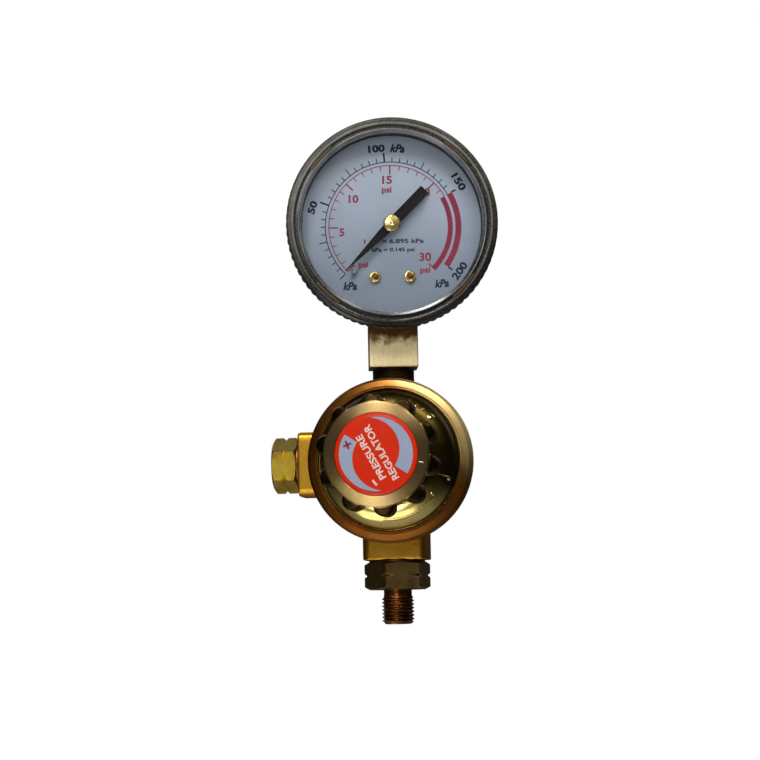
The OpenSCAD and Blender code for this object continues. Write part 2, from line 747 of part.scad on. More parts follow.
// Clear snap-on lens: window, thick ring and a ridged skirt.
module gauge_lens()
    color([0.3, 0.3, 0.28, 0.5]) at_gauge() difference() {
        union() {
            y_cyl(rim_r - ridge_r, lens_front_y + 1.2, lens_skirt_y);
            lathe_y() polygon([[0, lens_front_y + 1.6], [0, lens_front_y + 0.4],
                [lens_ring_r, lens_front_y + 0.4], [lens_ring_r + 0.6, lens_front_y],
                [rim_r - 1.4, lens_front_y], [rim_r - 0.2, lens_front_y + 1.2],
                [rim_r - 0.2, lens_front_y + 1.6]]);
            plate(lens_front_y + 1.6, lens_skirt_y - 0.6)
                for (i = [0:rim_ridges - 1])
                    rotate(i * 360 / rim_ridges)
                        translate([rim_r - 2 * ridge_r, 0])
                            polygon([[-0.2, -0.75], [ridge_r, -0.6], [2 * ridge_r, -0.25],
                                [2 * ridge_r, 0.25], [ridge_r, 0.6], [-0.2, 0.75]]);
        }
        y_cyl(dial_r + 0.1, lens_front_y + 0.4 + lens_window_t, 0);
        y_cyl(case_flange_r + 0.02, case_flange_y - gasket_t, 0);
    }

// Dial plate.
module dial()
    color([0.75, 0.8, 0.86]) at_gauge() difference() {
        y_cyl(dial_r, dial_front_y, dial_front_y + dial_t);
        y_cyl(dial_hole_r, dial_front_y - 1, 0);
        for (x = [-dial_screw_x, dial_screw_x]) translate([x, 0, dial_screw_z])
            y_cyl(dial_screw_r + 0.1, dial_front_y - 1, 0);
        rotate([0, -stop_angle, 0]) translate([stop_reach, 0, 0])
            y_cyl(0.36, dial_front_y - 1, 0);
    }

// Brass screws that hold the dial to the stem's block.
module dial_screws()
    color([0.8, 0.68, 0.36]) at_gauge()
        for (x = [-dial_screw_x, dial_screw_x]) translate([x, 0, dial_screw_z])
            difference() {
                union() {
                    y_cyl(dial_screw_r, dial_front_y - 0.1, -3.5);
                    y_cyl(dial_screw_head_r, dial_front_y - dial_screw_head_t, dial_front_y);
                }
                translate([0, dial_front_y - dial_screw_head_t, 0]) rotate([0, 35, 0])
                    cube([0.5, 0.8, 4], center = true);
            }

// Small pin that the pointer stops against.
module stop_pin()
    color([0.8, 0.8, 0.8]) at_gauge() rotate([0, -stop_angle, 0])
        translate([stop_reach, 0, 0]) y_cyl(0.35, dial_front_y - stop_height, dial_front_y + dial_t);

// Pointer with a hub, a tapered needle and a square tail, resting at zero.
module pointer()
    color([0.05, 0.05, 0.05]) at_gauge() difference() {
        plate(pointer_y, pointer_y + pointer_t) {
            circle(pointer_hub_r);
            rotate(pointer_zero) polygon([[0, -1.5], [5, -1.25], [pointer_len - 3, -0.3],
                [pointer_len, -0.12], [pointer_len, 0.12], [pointer_len - 3, 0.3],
                [5, 1.25], [0, 1.5]]);
            rotate(pointer_zero + 180)
                translate([0, -1.6]) square([pointer_tail_len, 3.2]);
        }
        y_cyl(arbor_r + 0.01, pointer_y - 1, 0);
    }

// Brass cap that presses the pointer on its arbor.
module pointer_cap()
    color([0.85, 0.7, 0.3]) at_gauge() difference() {
        y_cyl(cap_r, pointer_y - 0.9, pointer_y);
        y_cyl(arbor_r + 0.01, pointer_y - 0.5, 0);
    }

// ---- Gauge movement ----

// One gear tooth pointing along +X from a root at radius r.
module tooth(r)
    polygon([[r - tooth_dedendum - 0.1, -tooth_root_w / 2], [r - tooth_dedendum, -tooth_root_w / 2],
        [r, -tooth_mid_w / 2], [r + tooth_addendum, -tooth_tip_w / 2],
        [r + tooth_addendum, tooth_tip_w / 2], [r, tooth_mid_w / 2],
        [r - tooth_dedendum, tooth_root_w / 2], [r - tooth_dedendum - 0.1, tooth_root_w / 2]]);

// Arbor that carries the pointer, with its pinion between the plates.
module pinion_arbor()
    color([0.8, 0.68, 0.36]) at_gauge() {
        y_cyl(arbor_r, pointer_y - 0.45, back_plate_y + movement_plate_t + 0.5);
        plate(sector_y - 0.4, sector_y + sector_t + 0.4) {
            circle(pinion_r - tooth_dedendum);
            for (i = [0:pinion_teeth - 1]) rotate(-90 + i * 360 / pinion_teeth) tooth(pinion_r);
        }
    }

// Toothed sector with a tail for the link, at the zero end of its swing.
module sector_gear()
    color([0.8, 0.68, 0.36]) at_gauge() translate([0, 0, sector_pivot_z]) difference() {
        union() {
            plate(sector_y, sector_y + sector_t) {
                circle(2);
                difference() {
                    intersection() {
                        circle(sector_r - tooth_dedendum);
                        rotate(90 - sector_swing / 2) polygon([[0, -1.2], [sector_r + 1, -3.6],
                            [sector_r + 1, 3.6], [0, 1.2]]);
                    }
                    rotate(90 - sector_swing / 2) polygon([[3.2, -0.7], [7, -1.6], [7, 1.6], [3.2, 0.7]]);
                }
                for (i = [-7:0])
                    rotate(90 + (i + 0.5) * tooth_pitch_angle) tooth(sector_r);
                rotate(-sector_swing / 2) translate([0, -0.8]) square([tail_len, 1.6]);
                rotate(-sector_swing / 2) translate([tail_len, 0]) circle(1.2);
            }
            rotate([0, sector_swing / 2, 0]) translate([tail_len, 0, 0])
                y_cyl(link_pin_r, sector_y + 0.5, link_y + link_t + 0.2);
        }
        y_cyl(sector_arbor_r + 0.01, sector_y - 1, 0);
    }

// Arbor of the sector.
module sector_arbor()
    color([0.7, 0.7, 0.72]) at_gauge() translate([0, 0, sector_pivot_z])
        y_cyl(sector_arbor_r, front_plate_y - 0.3, back_plate_y + movement_plate_t + 0.6);

// Link from the tube's tip to the sector's tail; its lower hole has room for the tail's arc.
module tip_link() {
    top_x = tail_len * cos(sector_swing / 2);
    top_z = sector_pivot_z - tail_len * sin(sector_swing / 2);
    lean = atan2(top_x - tip_pin_x, top_z - tip_pin_z);
    reach = norm([top_x - tip_pin_x, top_z - tip_pin_z]);
    color([0.75, 0.75, 0.72]) at_gauge() translate([tip_pin_x, 0, tip_pin_z])
        rotate([0, lean, 0]) plate(link_y, link_y + link_t) difference() {
            union() {
                translate([-0.6, 0]) square([1.2, reach]);
                circle(1.5);
                translate([0, reach]) circle(1.1);
            }
            circle(link_pin_r + 0.4);
            translate([0, reach]) circle(link_pin_r + 0.06);
        }
}

// Oval section of the Bourdon tube, centred on its radius.
module tube_section(t, w)
    translate([tube_r, 0]) {
        square([t, w - t], center = true);
        for (s = [-1, 1]) translate([0, s * (w - t) / 2]) circle(t / 2);
    }

// Curved tube that opens as the pressure rises.
module bourdon_tube()
    color([0.75, 0.6, 0.35]) at_gauge() translate([0, tube_y, 0]) rotate([90, 0, 0])
        rotate([0, 0, tube_end]) rotate_extrude(angle = tube_start - tube_end) difference() {
            tube_section(tube_t, tube_w);
            tube_section(tube_t - 2 * tube_wall, tube_w - 2 * tube_wall);
        }

// Tip piece that closes the tube's free end and carries the link's pin.
module tube_tip() {
    tip_a = tube_end - tip_turn;
    tip_x = tube_r * cos(tip_a);
    tip_z = tube_r * sin(tip_a);
    arm = norm([tip_x - tip_pin_x, tip_z - tip_pin_z]);
    color([0.75, 0.75, 0.72]) at_gauge() {
        translate([0, tube_y, 0]) rotate([90, 0, 0]) rotate([0, 0, tip_a])
            rotate_extrude(angle = tip_turn - 0.1) tube_section(tube_t + 0.8, tube_w + 0.4);
        translate([tip_pin_x, 0, tip_pin_z])
            rotate([0, -atan2(tip_z - tip_pin_z, tip_x - tip_pin_x), 0])
                plate(link_y + link_t + 0.3, tube_y - tube_w / 2 + 0.6) {
                    translate([0, -0.8]) square([arm, 1.6]);
                    circle(1.2);
                }
        translate([tip_pin_x, 0, tip_pin_z])
            y_cyl(link_pin_r, link_y - 0.3, link_y + link_t + 0.6);
    }
}

// Front-view outline of a movement plate with its two bearing holes.
module movement_outline() difference() {
    translate([-plate_w / 2, plate_low_z]) square([plate_w, plate_high_z - plate_low_z]);
    circle(arbor_bore_r);
    translate([0, sector_pivot_z]) circle(sector_arbor_bore_r);
}

// Rear movement plate, screwed to the stem's tongue.
module movement_back_plate()
    color([0.78, 0.66, 0.36]) at_gauge()
        plate(back_plate_y, back_plate_y + movement_plate_t) difference() {
            movement_outline();
            for (x = [-tongue_screw_x, tongue_screw_x])
                translate([x, tongue_screw_z]) circle(0.72);
        }

// Front movement plate.
module movement_front_plate()
    color([0.78, 0.66, 0.36]) at_gauge()
        plate(front_plate_y, front_plate_y + movement_plate_t) difference() {
            movement_outline();
            pillar_places() circle(0.62);
        }

// Places of the pillars in the front view.
module pillar_places()
    for (p = [[-3.8, 2.4], [3.8, 2.4], [-3.8, -12.3]]) translate(p) children();

// Pillars between the movement plates.
module movement_pillars()
    color([0.8, 0.68, 0.36]) at_gauge()
        plate(front_plate_y + movement_plate_t, back_plate_y) pillar_places()
            difference() {
                circle(1.1);
                circle(0.6);
            }

// Screws into the pillars and into the stem's tongue.
module movement_screws()
    color([0.7, 0.7, 0.72]) at_gauge() {
        plate(front_plate_y - 0.7, front_plate_y) pillar_places() circle(1.1);
        plate(front_plate_y - 0.1, front_plate_y + 2.5) pillar_places() circle(0.58);
        for (x = [-tongue_screw_x, tongue_screw_x]) translate([x, 0, tongue_screw_z]) {
            y_cyl(1, back_plate_y - 0.5, back_plate_y);
            y_cyl(0.7, back_plate_y - 0.1, 3);
        }
    }

// Hairspring that keeps the pinion and the sector against one side of their teeth.
module hairspring() {
    steps = 20 * hairspring_turns;
    function spiral(i, side) =
        let (r = hairspring_in_r + hairspring_gap * i / 20 + side * hairspring_t / 2, a = 18 * i)
        [r * cos(a), r * sin(a)];
    color([0.75, 0.65, 0.4]) at_gauge() plate(hairspring_y, hairspring_y + hairspring_w)
        polygon(concat([for (i = [0:steps]) spiral(i, 1)], [for (i = [steps:-1:0]) spiral(i, -1)]));
}

regulator_body();
inlet_fitting();
inlet_washer();
inlet_filter();
outlet_fitting();
outlet_washer();
valve_nozzle();
valve_poppet();
valve_seat();
valve_spring();
rear_cap();
rear_cap_seal();
diaphragm();
diaphragm_plate();
diaphragm_pusher();
slip_ring();
main_spring();
spring_button();
thrust_ball();
bonnet();
bonnet_ring();
adjusting_screw();
knob();
knob_screw();
knob_label();
gauge_washer();
gauge_stem();
gauge_restrictor();
gauge_case();
case_screws();
blowout_plug();
lens_gasket();
gauge_lens();
dial();
dial_screws();
stop_pin();
pointer();
pointer_cap();
pinion_arbor();
sector_gear();
sector_arbor();
tip_link();
tube_tip();
bourdon_tube();
movement_back_plate();
movement_front_plate();
movement_pillars();
movement_screws();
hairspring();
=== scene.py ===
"""Looks of a gas regulator with a pressure gauge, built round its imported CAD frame.

Shapes are made in millimetres in one of two local frames, the body's (centre of the round
housing, front towards -Y) and the gauge's (centre of the dial), and placed in metres.
"""
import json
import math

import bmesh
import bpy
from mathutils import Matrix, Vector


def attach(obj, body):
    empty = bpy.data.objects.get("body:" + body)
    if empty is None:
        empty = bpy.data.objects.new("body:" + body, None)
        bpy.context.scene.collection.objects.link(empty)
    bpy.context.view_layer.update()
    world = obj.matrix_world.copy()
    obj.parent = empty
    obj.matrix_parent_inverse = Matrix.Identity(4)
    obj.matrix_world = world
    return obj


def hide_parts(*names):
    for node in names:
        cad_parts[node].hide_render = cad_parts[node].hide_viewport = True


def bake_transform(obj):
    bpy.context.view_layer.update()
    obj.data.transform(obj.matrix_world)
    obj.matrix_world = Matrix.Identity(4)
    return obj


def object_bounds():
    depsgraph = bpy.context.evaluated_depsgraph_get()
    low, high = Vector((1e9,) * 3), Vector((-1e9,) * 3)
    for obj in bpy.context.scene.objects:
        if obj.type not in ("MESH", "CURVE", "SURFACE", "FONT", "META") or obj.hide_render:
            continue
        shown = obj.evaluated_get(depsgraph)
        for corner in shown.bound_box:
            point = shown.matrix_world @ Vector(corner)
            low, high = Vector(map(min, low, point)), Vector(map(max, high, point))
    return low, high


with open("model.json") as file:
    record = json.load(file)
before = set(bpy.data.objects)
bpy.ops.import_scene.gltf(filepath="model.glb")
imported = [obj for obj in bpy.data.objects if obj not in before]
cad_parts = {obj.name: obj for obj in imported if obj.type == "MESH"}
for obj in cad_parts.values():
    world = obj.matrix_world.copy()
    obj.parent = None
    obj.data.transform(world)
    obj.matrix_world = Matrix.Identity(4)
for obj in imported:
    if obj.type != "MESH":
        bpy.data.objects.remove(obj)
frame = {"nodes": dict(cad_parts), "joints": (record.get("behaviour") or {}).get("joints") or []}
cad_low, cad_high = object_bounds()

MM = 0.001
RECORD_JOINTS = {joint["name"]: joint for joint in frame["joints"]}


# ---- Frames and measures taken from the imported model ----

def body_place():
    """Millimetres round the body's centre to metres in the row frame."""
    return Matrix.Translation(Vector(RECORD_JOINTS["knob_turn"]["pos_m"])) @ Matrix.Scale(MM, 4)


def gauge_place():
    """Millimetres round the dial's centre to metres in the row frame."""
    joint = RECORD_JOINTS["pointer_spin"]
    into = Vector(joint["axis"])
    turn = Matrix.Rotation(math.atan2(-into.x, into.y), 4, "Z")
    return Matrix.Translation(Vector(joint["pos_m"])) @ turn @ Matrix.Scale(MM, 4)


BODY = body_place()
GAUGE = gauge_place()


def extent(points):
    """Lowest and highest corner of the box round some points."""
    return [Vector(pick(p[i] for p in points) for i in range(3)) for pick in (min, max)]


def measured(node, place):
    """Lowest and highest corner of a CAD node in a local frame, in millimetres."""
    inverse = place.inverted()
    return extent([inverse @ v.co for v in frame["nodes"][node].data.vertices])


# ---- Meshes ----

def rounded(points, steps=5):
    """Outline through (a, b) points; a point (a, b, r) has its corner rounded with radius r."""
    outline = []
    for i, point in enumerate(points):
        here = Vector(point[:2])
        if len(point) < 3 or point[2] <= 0:
            outline.append(here)
            continue
        back = Vector(points[i - 1][:2]) - here
        ahead = Vector(points[(i + 1) % len(points)][:2]) - here
        half = back.angle(ahead) / 2
        reach = min(point[2] / math.tan(half), 0.49 * back.length, 0.49 * ahead.length)
        radius = reach * math.tan(half)
        centre = here + (back.normalized() + ahead.normalized()).normalized() * radius / math.sin(half)
        start = here + back.normalized() * reach - centre
        end = here + ahead.normalized() * reach - centre
        sweep = math.atan2(start.x * end.y - start.y * end.x, start.dot(end))
        for k in range(steps + 1):
            outline.append(centre + Matrix.Rotation(sweep * k / steps, 2) @ start)
    return [(p[0], p[1]) for p in outline]


def mesh_of(bm, place, name):
    """Mesh of a bmesh in local millimetres, placed in metres, with outward normals."""
    bmesh.ops.recalc_face_normals(bm, faces=bm.faces)
    for face in bm.faces:
        face.smooth = True
    mesh = bpy.data.meshes.new(name)
    bm.to_mesh(mesh)
    bm.free()
    mesh.transform(place)
    return mesh


def lathe(profile, steps=48, axis="Y", ripple=None):
    """Bmesh of a closed profile of (radius, along) points turned about an axis.

    ripple(angle, radius, along) returns a radius to use in place of the profile's."""
    bm = bmesh.new()
    rings = []
    for radius, along in profile:
        if radius < 1e-6:
            rings.append([bm.verts.new((0, along, 0) if axis == "Y" else (0, 0, along))])
            continue
        ring = []
        for i in range(steps):
            a = math.tau * i / steps
            r = ripple(a, radius, along) if ripple else radius
            u, v = r * math.cos(a), r * math.sin(a)
            ring.append(bm.verts.new((u, along, v) if axis == "Y" else (u, v, along)))
        rings.append(ring)
    closed = len(rings[0]) > 1 or len(rings[-1]) > 1
    pairs = list(zip(rings, rings[1:])) + ([(rings[-1], rings[0])] if closed else [])
    for first, second in pairs:
        join_rings(bm, first, second)
    return bm


def join_rings(bm, first, second):
    """Faces between two rings of points, one of which may be a single point."""
    count = max(len(first), len(second))
    if count == 1:
        return
    for i in range(count):
        j = (i + 1) % count
        if len(first) == 1:
            bm.faces.new((first[0], second[j], second[i]))
        elif len(second) == 1:
            bm.faces.new((first[i], first[j], second[0]))
        else:
            bm.faces.new((first[i], first[j], second[j], second[i]))


def prism(bm, outline, y0, y1):
    """Solid between y0 and y1 with a front-view outline of (x, z) points."""
    front = [bm.verts.new((x, y0, z)) for x, z in outline]
    back = [bm.verts.new((x, y1, z)) for x, z in outline]
    bm.faces.new(front)
    bm.faces.new(back[::-1])
    wall(bm, front, back)


def wall(bm, front, back):
    """Faces between two outlines with as many points each."""
    for i in range(len(front)):
        j = (i + 1) % len(front)
        bm.faces.new((front[j], front[i], back[i], back[j]))


def shifted(outline, dx, dz):
    """Outline moved in the front view."""
    return [(x + dx, z + dz) for x, z in outline]


def polar(radius, degrees):
    """Point (x, z) of the front view, with the angle from +X towards +Z."""
    a = math.radians(degrees)
    return radius * math.cos(a), radius * math.sin(a)


def sector(r0, r1, a0, a1, step=3.0):
    """Outline of a ring's part between two radii and two angles in degrees."""
    count = max(1, math.ceil(abs(a1 - a0) / step))
    angles = [a0 + (a1 - a0) * i / count for i in range(count + 1)]
    return [polar(r1, a) for a in angles] + [polar(r0, a) for a in reversed(angles)]


def bar(angle, r0, r1, width):
    """Outline of a radial bar."""
    a = math.radians(angle)
    along, across = Vector((math.cos(a), math.sin(a))), Vector((-math.sin(a), math.cos(a)))
    corners = [along * r0 - across * width / 2, along * r1 - across * width / 2,
               along * r1 + across * width / 2, along * r0 + across * width / 2]
    return [(c.x, c.y) for c in corners]


def add_text(bm, text, width, height, centre, turn, y0, y1, weight, slant=0.0):
    """Adds flat lettering fitted to a width and height and turned in the front view."""
    curve = bpy.data.curves.new("lettering", "FONT")
    curve.body = text
    curve.size = height
    curve.offset = weight
    curve.shear = slant
    curve.extrude = 0.5
    curve.resolution_u = 3
    thing = bpy.data.objects.new("lettering", curve)
    mesh = bpy.data.meshes.new_from_object(thing)
    low, high = extent([v.co for v in mesh.vertices])
    fit = Matrix.Diagonal((width / (high.x - low.x), height / (high.y - low.y), abs(y1 - y0), 1))
    placing = (Matrix.Translation((centre[0], (y0 + y1) / 2, centre[1]))
               @ Matrix.Rotation(-math.radians(turn), 4, "Y") @ Matrix.Rotation(math.pi / 2, 4, "X")
               @ fit @ Matrix.Translation(-(low + high) / 2))
    mesh.transform(placing)
    bm.from_mesh(mesh)
    bpy.data.objects.remove(thing)
    bpy.data.curves.remove(curve)
    bpy.data.meshes.remove(mesh)


def placed(name, data):
    """An object of the scene that holds a mesh, light or camera."""
    thing = bpy.data.objects.new(name, data)
    bpy.context.scene.collection.objects.link(thing)
    return thing


def add_shape(bm, place, name, material, *says, **more):
    """Adds a bmesh in local millimetres as a finished piece; the rest goes to add_piece."""
    add_piece(name, mesh_of(bm, place, name), material, *says, **more)


def add_piece(name, mesh, material, body, replaces=(), slot=None, bevel=0.0, limit=35):
    """Adds a finished piece that rides on a body; with a (body, body, start, end) tuple it is only fixed
    where it stands.

    The slot argument is not used. bevel is in millimetres; edges sharper than
    limit degrees are bevelled or stay sharp."""
    piece = placed(name, mesh)
    mesh.materials.clear()
    mesh.materials.append(MATERIALS[material])
    if bevel:
        edge = piece.modifiers.new("edge", "BEVEL")
        edge.width = bevel * MM
        edge.segments = 3
        edge.limit_method = "ANGLE"
        edge.angle_limit = math.radians(limit)
        edge.miter_outer = "MITER_ARC"
        normals = piece.modifiers.new("normals", "WEIGHTED_NORMAL")
        normals.keep_sharp = True
    else:
        mesh.set_sharp_from_angle(angle=math.radians(limit))
    if isinstance(body, str):
        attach(piece, body)
    else:
        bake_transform(piece)
    if replaces:
        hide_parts(*replaces)


def node_copy(node):
    """A CAD node's mesh as a clean bmesh in metres: points merged, flat faces joined."""
    bm = bmesh.new()
    bm.from_mesh(frame["nodes"][node].data)
    bmesh.ops.remove_doubles(bm, verts=bm.verts, dist=2e-6)
    bmesh.ops.dissolve_limit(bm, angle_limit=math.radians(0.6), verts=bm.verts, edges=bm.edges)
    return bm


def softened(bm, name, voxel, rounds):
    """Mesh of a bmesh in metres, remeshed and smoothed so that its edges turn like a forging's."""
    mesh = bpy.data.meshes.new(name)
    bm.to_mesh(mesh)
    bm.free()
    thing = placed(name, mesh)
    remesh = thing.modifiers.new("remesh", "REMESH")
    remesh.mode = "VOXEL"
    remesh.voxel_size = voxel * MM
    remesh.use_smooth_shade = True
    smooth = thing.modifiers.new("smooth", "SMOOTH")
    smooth.factor = 0.5
    smooth.iterations = rounds
    result = bpy.data.meshes.new_from_object(thing.evaluated_get(bpy.context.evaluated_depsgraph_get()))
    bpy.data.objects.remove(thing)
    bpy.data.meshes.remove(mesh)
    result.name = name
    return result


# ---- Materials ----

def opaque(value):
    """A colour with its alpha; a number or socket as it is."""
    return (*value, 1) if isinstance(value, tuple) else value


class Shader:
    """A node material whose Principled shader is set and fed in a few short calls."""

    def __init__(self, name, **sockets):
        self.name = name
        self.material = bpy.data.materials.new(name)
        self.material.use_nodes = True
        self.nodes = self.material.node_tree.nodes
        self.links = self.material.node_tree.links
        self.nodes.clear()
        self.output = self.nodes.new("ShaderNodeOutputMaterial")
        self.surface = self.nodes.new("ShaderNodeBsdfPrincipled")
        self.links.new(self.surface.outputs[0], self.output.inputs["Surface"])
        for key, value in sockets.items():
            self.surface.inputs[key.replace("_", " ")].default_value = opaque(value)
        self.places = {}

    def node(self, kind, inputs=None, **settings):
        made = self.nodes.new(kind)
        for key, value in settings.items():
            setattr(made, key, value)
        for key, value in (inputs or {}).items():
            if isinstance(value, bpy.types.NodeSocket):
                self.links.new(value, made.inputs[key])
            else:
                made.inputs[key].default_value = value
        return made

    def feed(self, socket, value):
        self.links.new(value, self.surface.inputs[socket])

    def position(self, place=BODY):
        """Millimetres in a local frame, as a vector socket."""
        key = id(place)
        if key not in self.places:
            coordinate = self.node("ShaderNodeTexCoord")
            inverse = place.inverted()
            mapping = self.node("ShaderNodeMapping", {
                "Vector": coordinate.outputs["Object"], "Scale": (1 / MM,) * 3,
                "Rotation": inverse.to_euler(), "Location": inverse.to_translation()})
            self.places[key] = mapping.outputs[0]
        return self.places[key]

    def noise(self, scale, detail=4.0, rough=0.55, place=BODY, stretch=None, distort=0.0):
        """Noise from 0 to 1 with scale in waves a millimetre."""
        vector = self.position(place)
        if stretch:
            vector = self.node("ShaderNodeMapping", {"Vector": vector, "Scale": stretch}).outputs[0]
        return self.node("ShaderNodeTexNoise", {
            "Vector": vector, "Scale": scale, "Detail": detail, "Roughness": rough,
            "Distortion": distort}).outputs["Fac"]

    def ramp(self, value, low, high, start=0.0, end=1.0):
        """Value from low to high turned smoothly to start to end."""
        return self.node("ShaderNodeMapRange", {
            "Value": value, "From Min": low, "From Max": high, "To Min": start, "To Max": end},
            interpolation_type="SMOOTHSTEP").outputs["Result"]

    def mix(self, share, first, second, blend="MIX"):
        """Mix of two colours, each a tuple or a socket."""
        return self.node("ShaderNodeMix", {0: share, 6: opaque(first), 7: opaque(second)},
                         data_type="RGBA", blend_type=blend).outputs[2]

    def shaded(self, colour, tone):
        """A colour times a tone from 0 to 1."""
        grey = self.node("ShaderNodeCombineColor", {"Red": tone, "Green": tone, "Blue": tone})
        return self.mix(1.0, colour, grey.outputs[0], "MULTIPLY")

    def math(self, operation, *values):
        return self.node("ShaderNodeMath", dict(enumerate(values)), operation=operation).outputs[0]

    def axis_distance(self, place=BODY):
        """Distance in millimetres from a local frame's Y axis."""
        parts = self.node("ShaderNodeSeparateXYZ", {"Vector": self.position(place)})
        squares = [self.math("POWER", parts.outputs[k], 2.0) for k in "XZ"]
        return self.math("SQRT", self.math("ADD", *squares))

    def along(self, direction, place=BODY):
        """Distance in millimetres along a direction of a local frame."""
        return self.node("ShaderNodeVectorMath", {0: self.position(place), 1: direction},
                         operation="DOT_PRODUCT").outputs["Value"]

    def satin(self, fine, low, high, grain):
        """Roughness from low to high and slight bumps, both from a fine noise."""
        self.feed("Roughness", self.ramp(fine, 0.3, 0.7, low, high))
        self.bump(fine, grain, 0.02)

    def bump(self, height, strength, distance):
        """Bump from a height from 0 to 1, where 1 stands distance millimetres high."""
        made = self.node("ShaderNodeBump", {"Height": height, "Strength": strength,
                                            "Distance": distance * MM})
        if "normal" in self.places:
            self.links.new(self.places["normal"], made.inputs["Normal"])
        self.places["normal"] = made.outputs[0]
        self.feed("Normal", made.outputs[0])


def aged_brass(name, clean, stain, patch, rough=(0.2, 0.4), stain_at=(0.45, 0.7),
               patch_at=(0.6, 0.75), grain=0.15, place=BODY, scale=0.12):
    """Brass with brown stain in broad clouds, warm patches and a fine grain."""
    shader = Shader(name, Metallic=1.0)
    clouds = shader.noise(scale, 5, 0.6, place)
    patches = shader.noise(scale * 1.7, 3, 0.5, place, distort=0.6)
    fine = shader.noise(3.0, 6, 0.65, place)
    colour = shader.mix(shader.ramp(clouds, *stain_at), clean, stain)
    colour = shader.mix(shader.ramp(patches, *patch_at), colour, patch)
    speck = shader.ramp(fine, 0.35, 0.75, 1.0, 0.72)
    shader.feed("Base Color", shader.shaded(colour, speck))
    dull = shader.math("ADD", clouds, shader.math("MULTIPLY", fine, 0.4))
    shader.feed("Roughness", shader.ramp(dull, 0.4, 0.95, *rough))
    shader.bump(fine, grain, 0.03)
    return shader


def toned(shader, share, colour):
    """Mixes another colour into a material's own by a share from 0 to 1."""
    own = shader.surface.inputs["Base Color"].links[0].from_socket
    shader.feed("Base Color", shader.mix(share, own, colour))
    return shader


def ring_material():
    """Copper-brown turned brass with a painted highlight that makes it pale towards the upper right."""
    shader = aged_brass("ring_brass", (0.17, 0.066, 0.011), (0.085, 0.028, 0.005), (0.24, 0.068, 0.010),
                        (0.34, 0.46), (0.45, 0.75), (0.56, 0.72), 0.08, scale=0.06)
    # Painted highlight: the brass turns pale towards the upper right, by distance along that direction.
    reach = shader.math("MULTIPLY_ADD", shader.noise(0.1, 3), 8.0, shader.along((0.8, 0, 0.6)))
    painted_highlight = shader.ramp(reach, 16.5, 25.5)
    return turned(toned(shader, painted_highlight, (0.54, 0.39, 0.17)), BODY, 0.42, 0.15, 0.35)


def bonnet_material():
    """Polished yellow brass, darkened over its upper part by a painted dark reflection."""
    shader = aged_brass("bonnet_brass", (0.74, 0.62, 0.22), (0.50, 0.38, 0.10), (0.80, 0.66, 0.26),
                        (0.12, 0.22), (0.5, 0.8), (0.55, 0.75), 0.1, scale=0.2)
    # Painted dark reflection: towards the top and a little to the right, the brass is tinted nearly black
    # and made rougher.
    reach = shader.math("MULTIPLY_ADD", shader.noise(0.15, 3), 8.0, shader.along((0.3, 0, 0.95)))
    painted_dark_reflection = shader.ramp(reach, -9.0, 3.0)
    polish = shader.surface.inputs["Roughness"].links[0].from_socket
    shader.feed("Roughness", shader.math("MULTIPLY_ADD", painted_dark_reflection, 0.16, polish))
    return toned(shader, painted_dark_reflection, (0.045, 0.032, 0.006))


def turned(shader, place, pitch=0.35, strength=0.25, anisotropy=0.8):
    """Adds the fine rings that a lathe leaves about Y, pitch millimetres apart."""
    distance = shader.axis_distance(place)
    wobble = shader.math("MULTIPLY", shader.noise(0.8, 2, 0.5, place), 0.25)
    phase = shader.math("MULTIPLY", shader.math("ADD", distance, wobble), math.tau / pitch)
    wave = shader.math("SINE", phase)
    shader.bump(shader.math("MULTIPLY_ADD", wave, 0.5, 0.5), strength, 0.02)
    tangent = shader.node("ShaderNodeTangent", direction_type="RADIAL", axis="Y")
    shader.feed("Tangent", tangent.outputs[0])
    shader.surface.inputs["Anisotropic"].default_value = anisotropy
    shader.surface.inputs["Anisotropic Rotation"].default_value = 0.25
    return shader


# Clean, stained and patchy colour of each brass or metal, then its finish.
METALS = {
    "forged_brass": dict(clean=(0.46, 0.25, 0.025), stain=(0.24, 0.10, 0.010), patch=(0.42, 0.15, 0.012),
                         rough=(0.32, 0.46), stain_at=(0.52, 0.8), patch_at=(0.56, 0.7), grain=0.1),
    "fitting_brass": dict(clean=(0.58, 0.41, 0.05), stain=(0.30, 0.19, 0.025), patch=(0.48, 0.28, 0.04),
                          rough=(0.28, 0.42), stain_at=(0.4, 0.7), patch_at=(0.6, 0.8), grain=0.2),
    "dark_brass": dict(clean=(0.32, 0.22, 0.07), stain=(0.12, 0.075, 0.025), patch=(0.40, 0.24, 0.08),
                       rough=(0.3, 0.45), stain_at=(0.4, 0.7), patch_at=(0.58, 0.8), grain=0.2),
    "thread_copper": dict(clean=(0.34, 0.13, 0.035), stain=(0.07, 0.03, 0.01), patch=(0.4, 0.16, 0.05),
                          rough=(0.22, 0.35), stain_at=(0.35, 0.65), patch_at=(0.6, 0.8), grain=0.15),
    "bright_brass": dict(clean=(0.80, 0.60, 0.25), stain=(0.55, 0.38, 0.14), patch=(0.75, 0.50, 0.2),
                         rough=(0.18, 0.28), stain_at=(0.5, 0.8), patch_at=(0.6, 0.8), grain=0.08,
                         place=GAUGE, scale=0.3),
    "copper": dict(clean=(0.17, 0.065, 0.025), stain=(0.08, 0.035, 0.015), patch=(0.14, 0.055, 0.025),
                   rough=(0.3, 0.45)),
    "bronze": dict(clean=(0.5, 0.34, 0.18), stain=(0.3, 0.2, 0.1), patch=(0.45, 0.3, 0.15),
                   rough=(0.45, 0.6), grain=0.5),
    "steel": dict(clean=(0.62, 0.62, 0.63), stain=(0.42, 0.42, 0.43), patch=(0.55, 0.55, 0.56),
                  rough=(0.18, 0.32)),
}

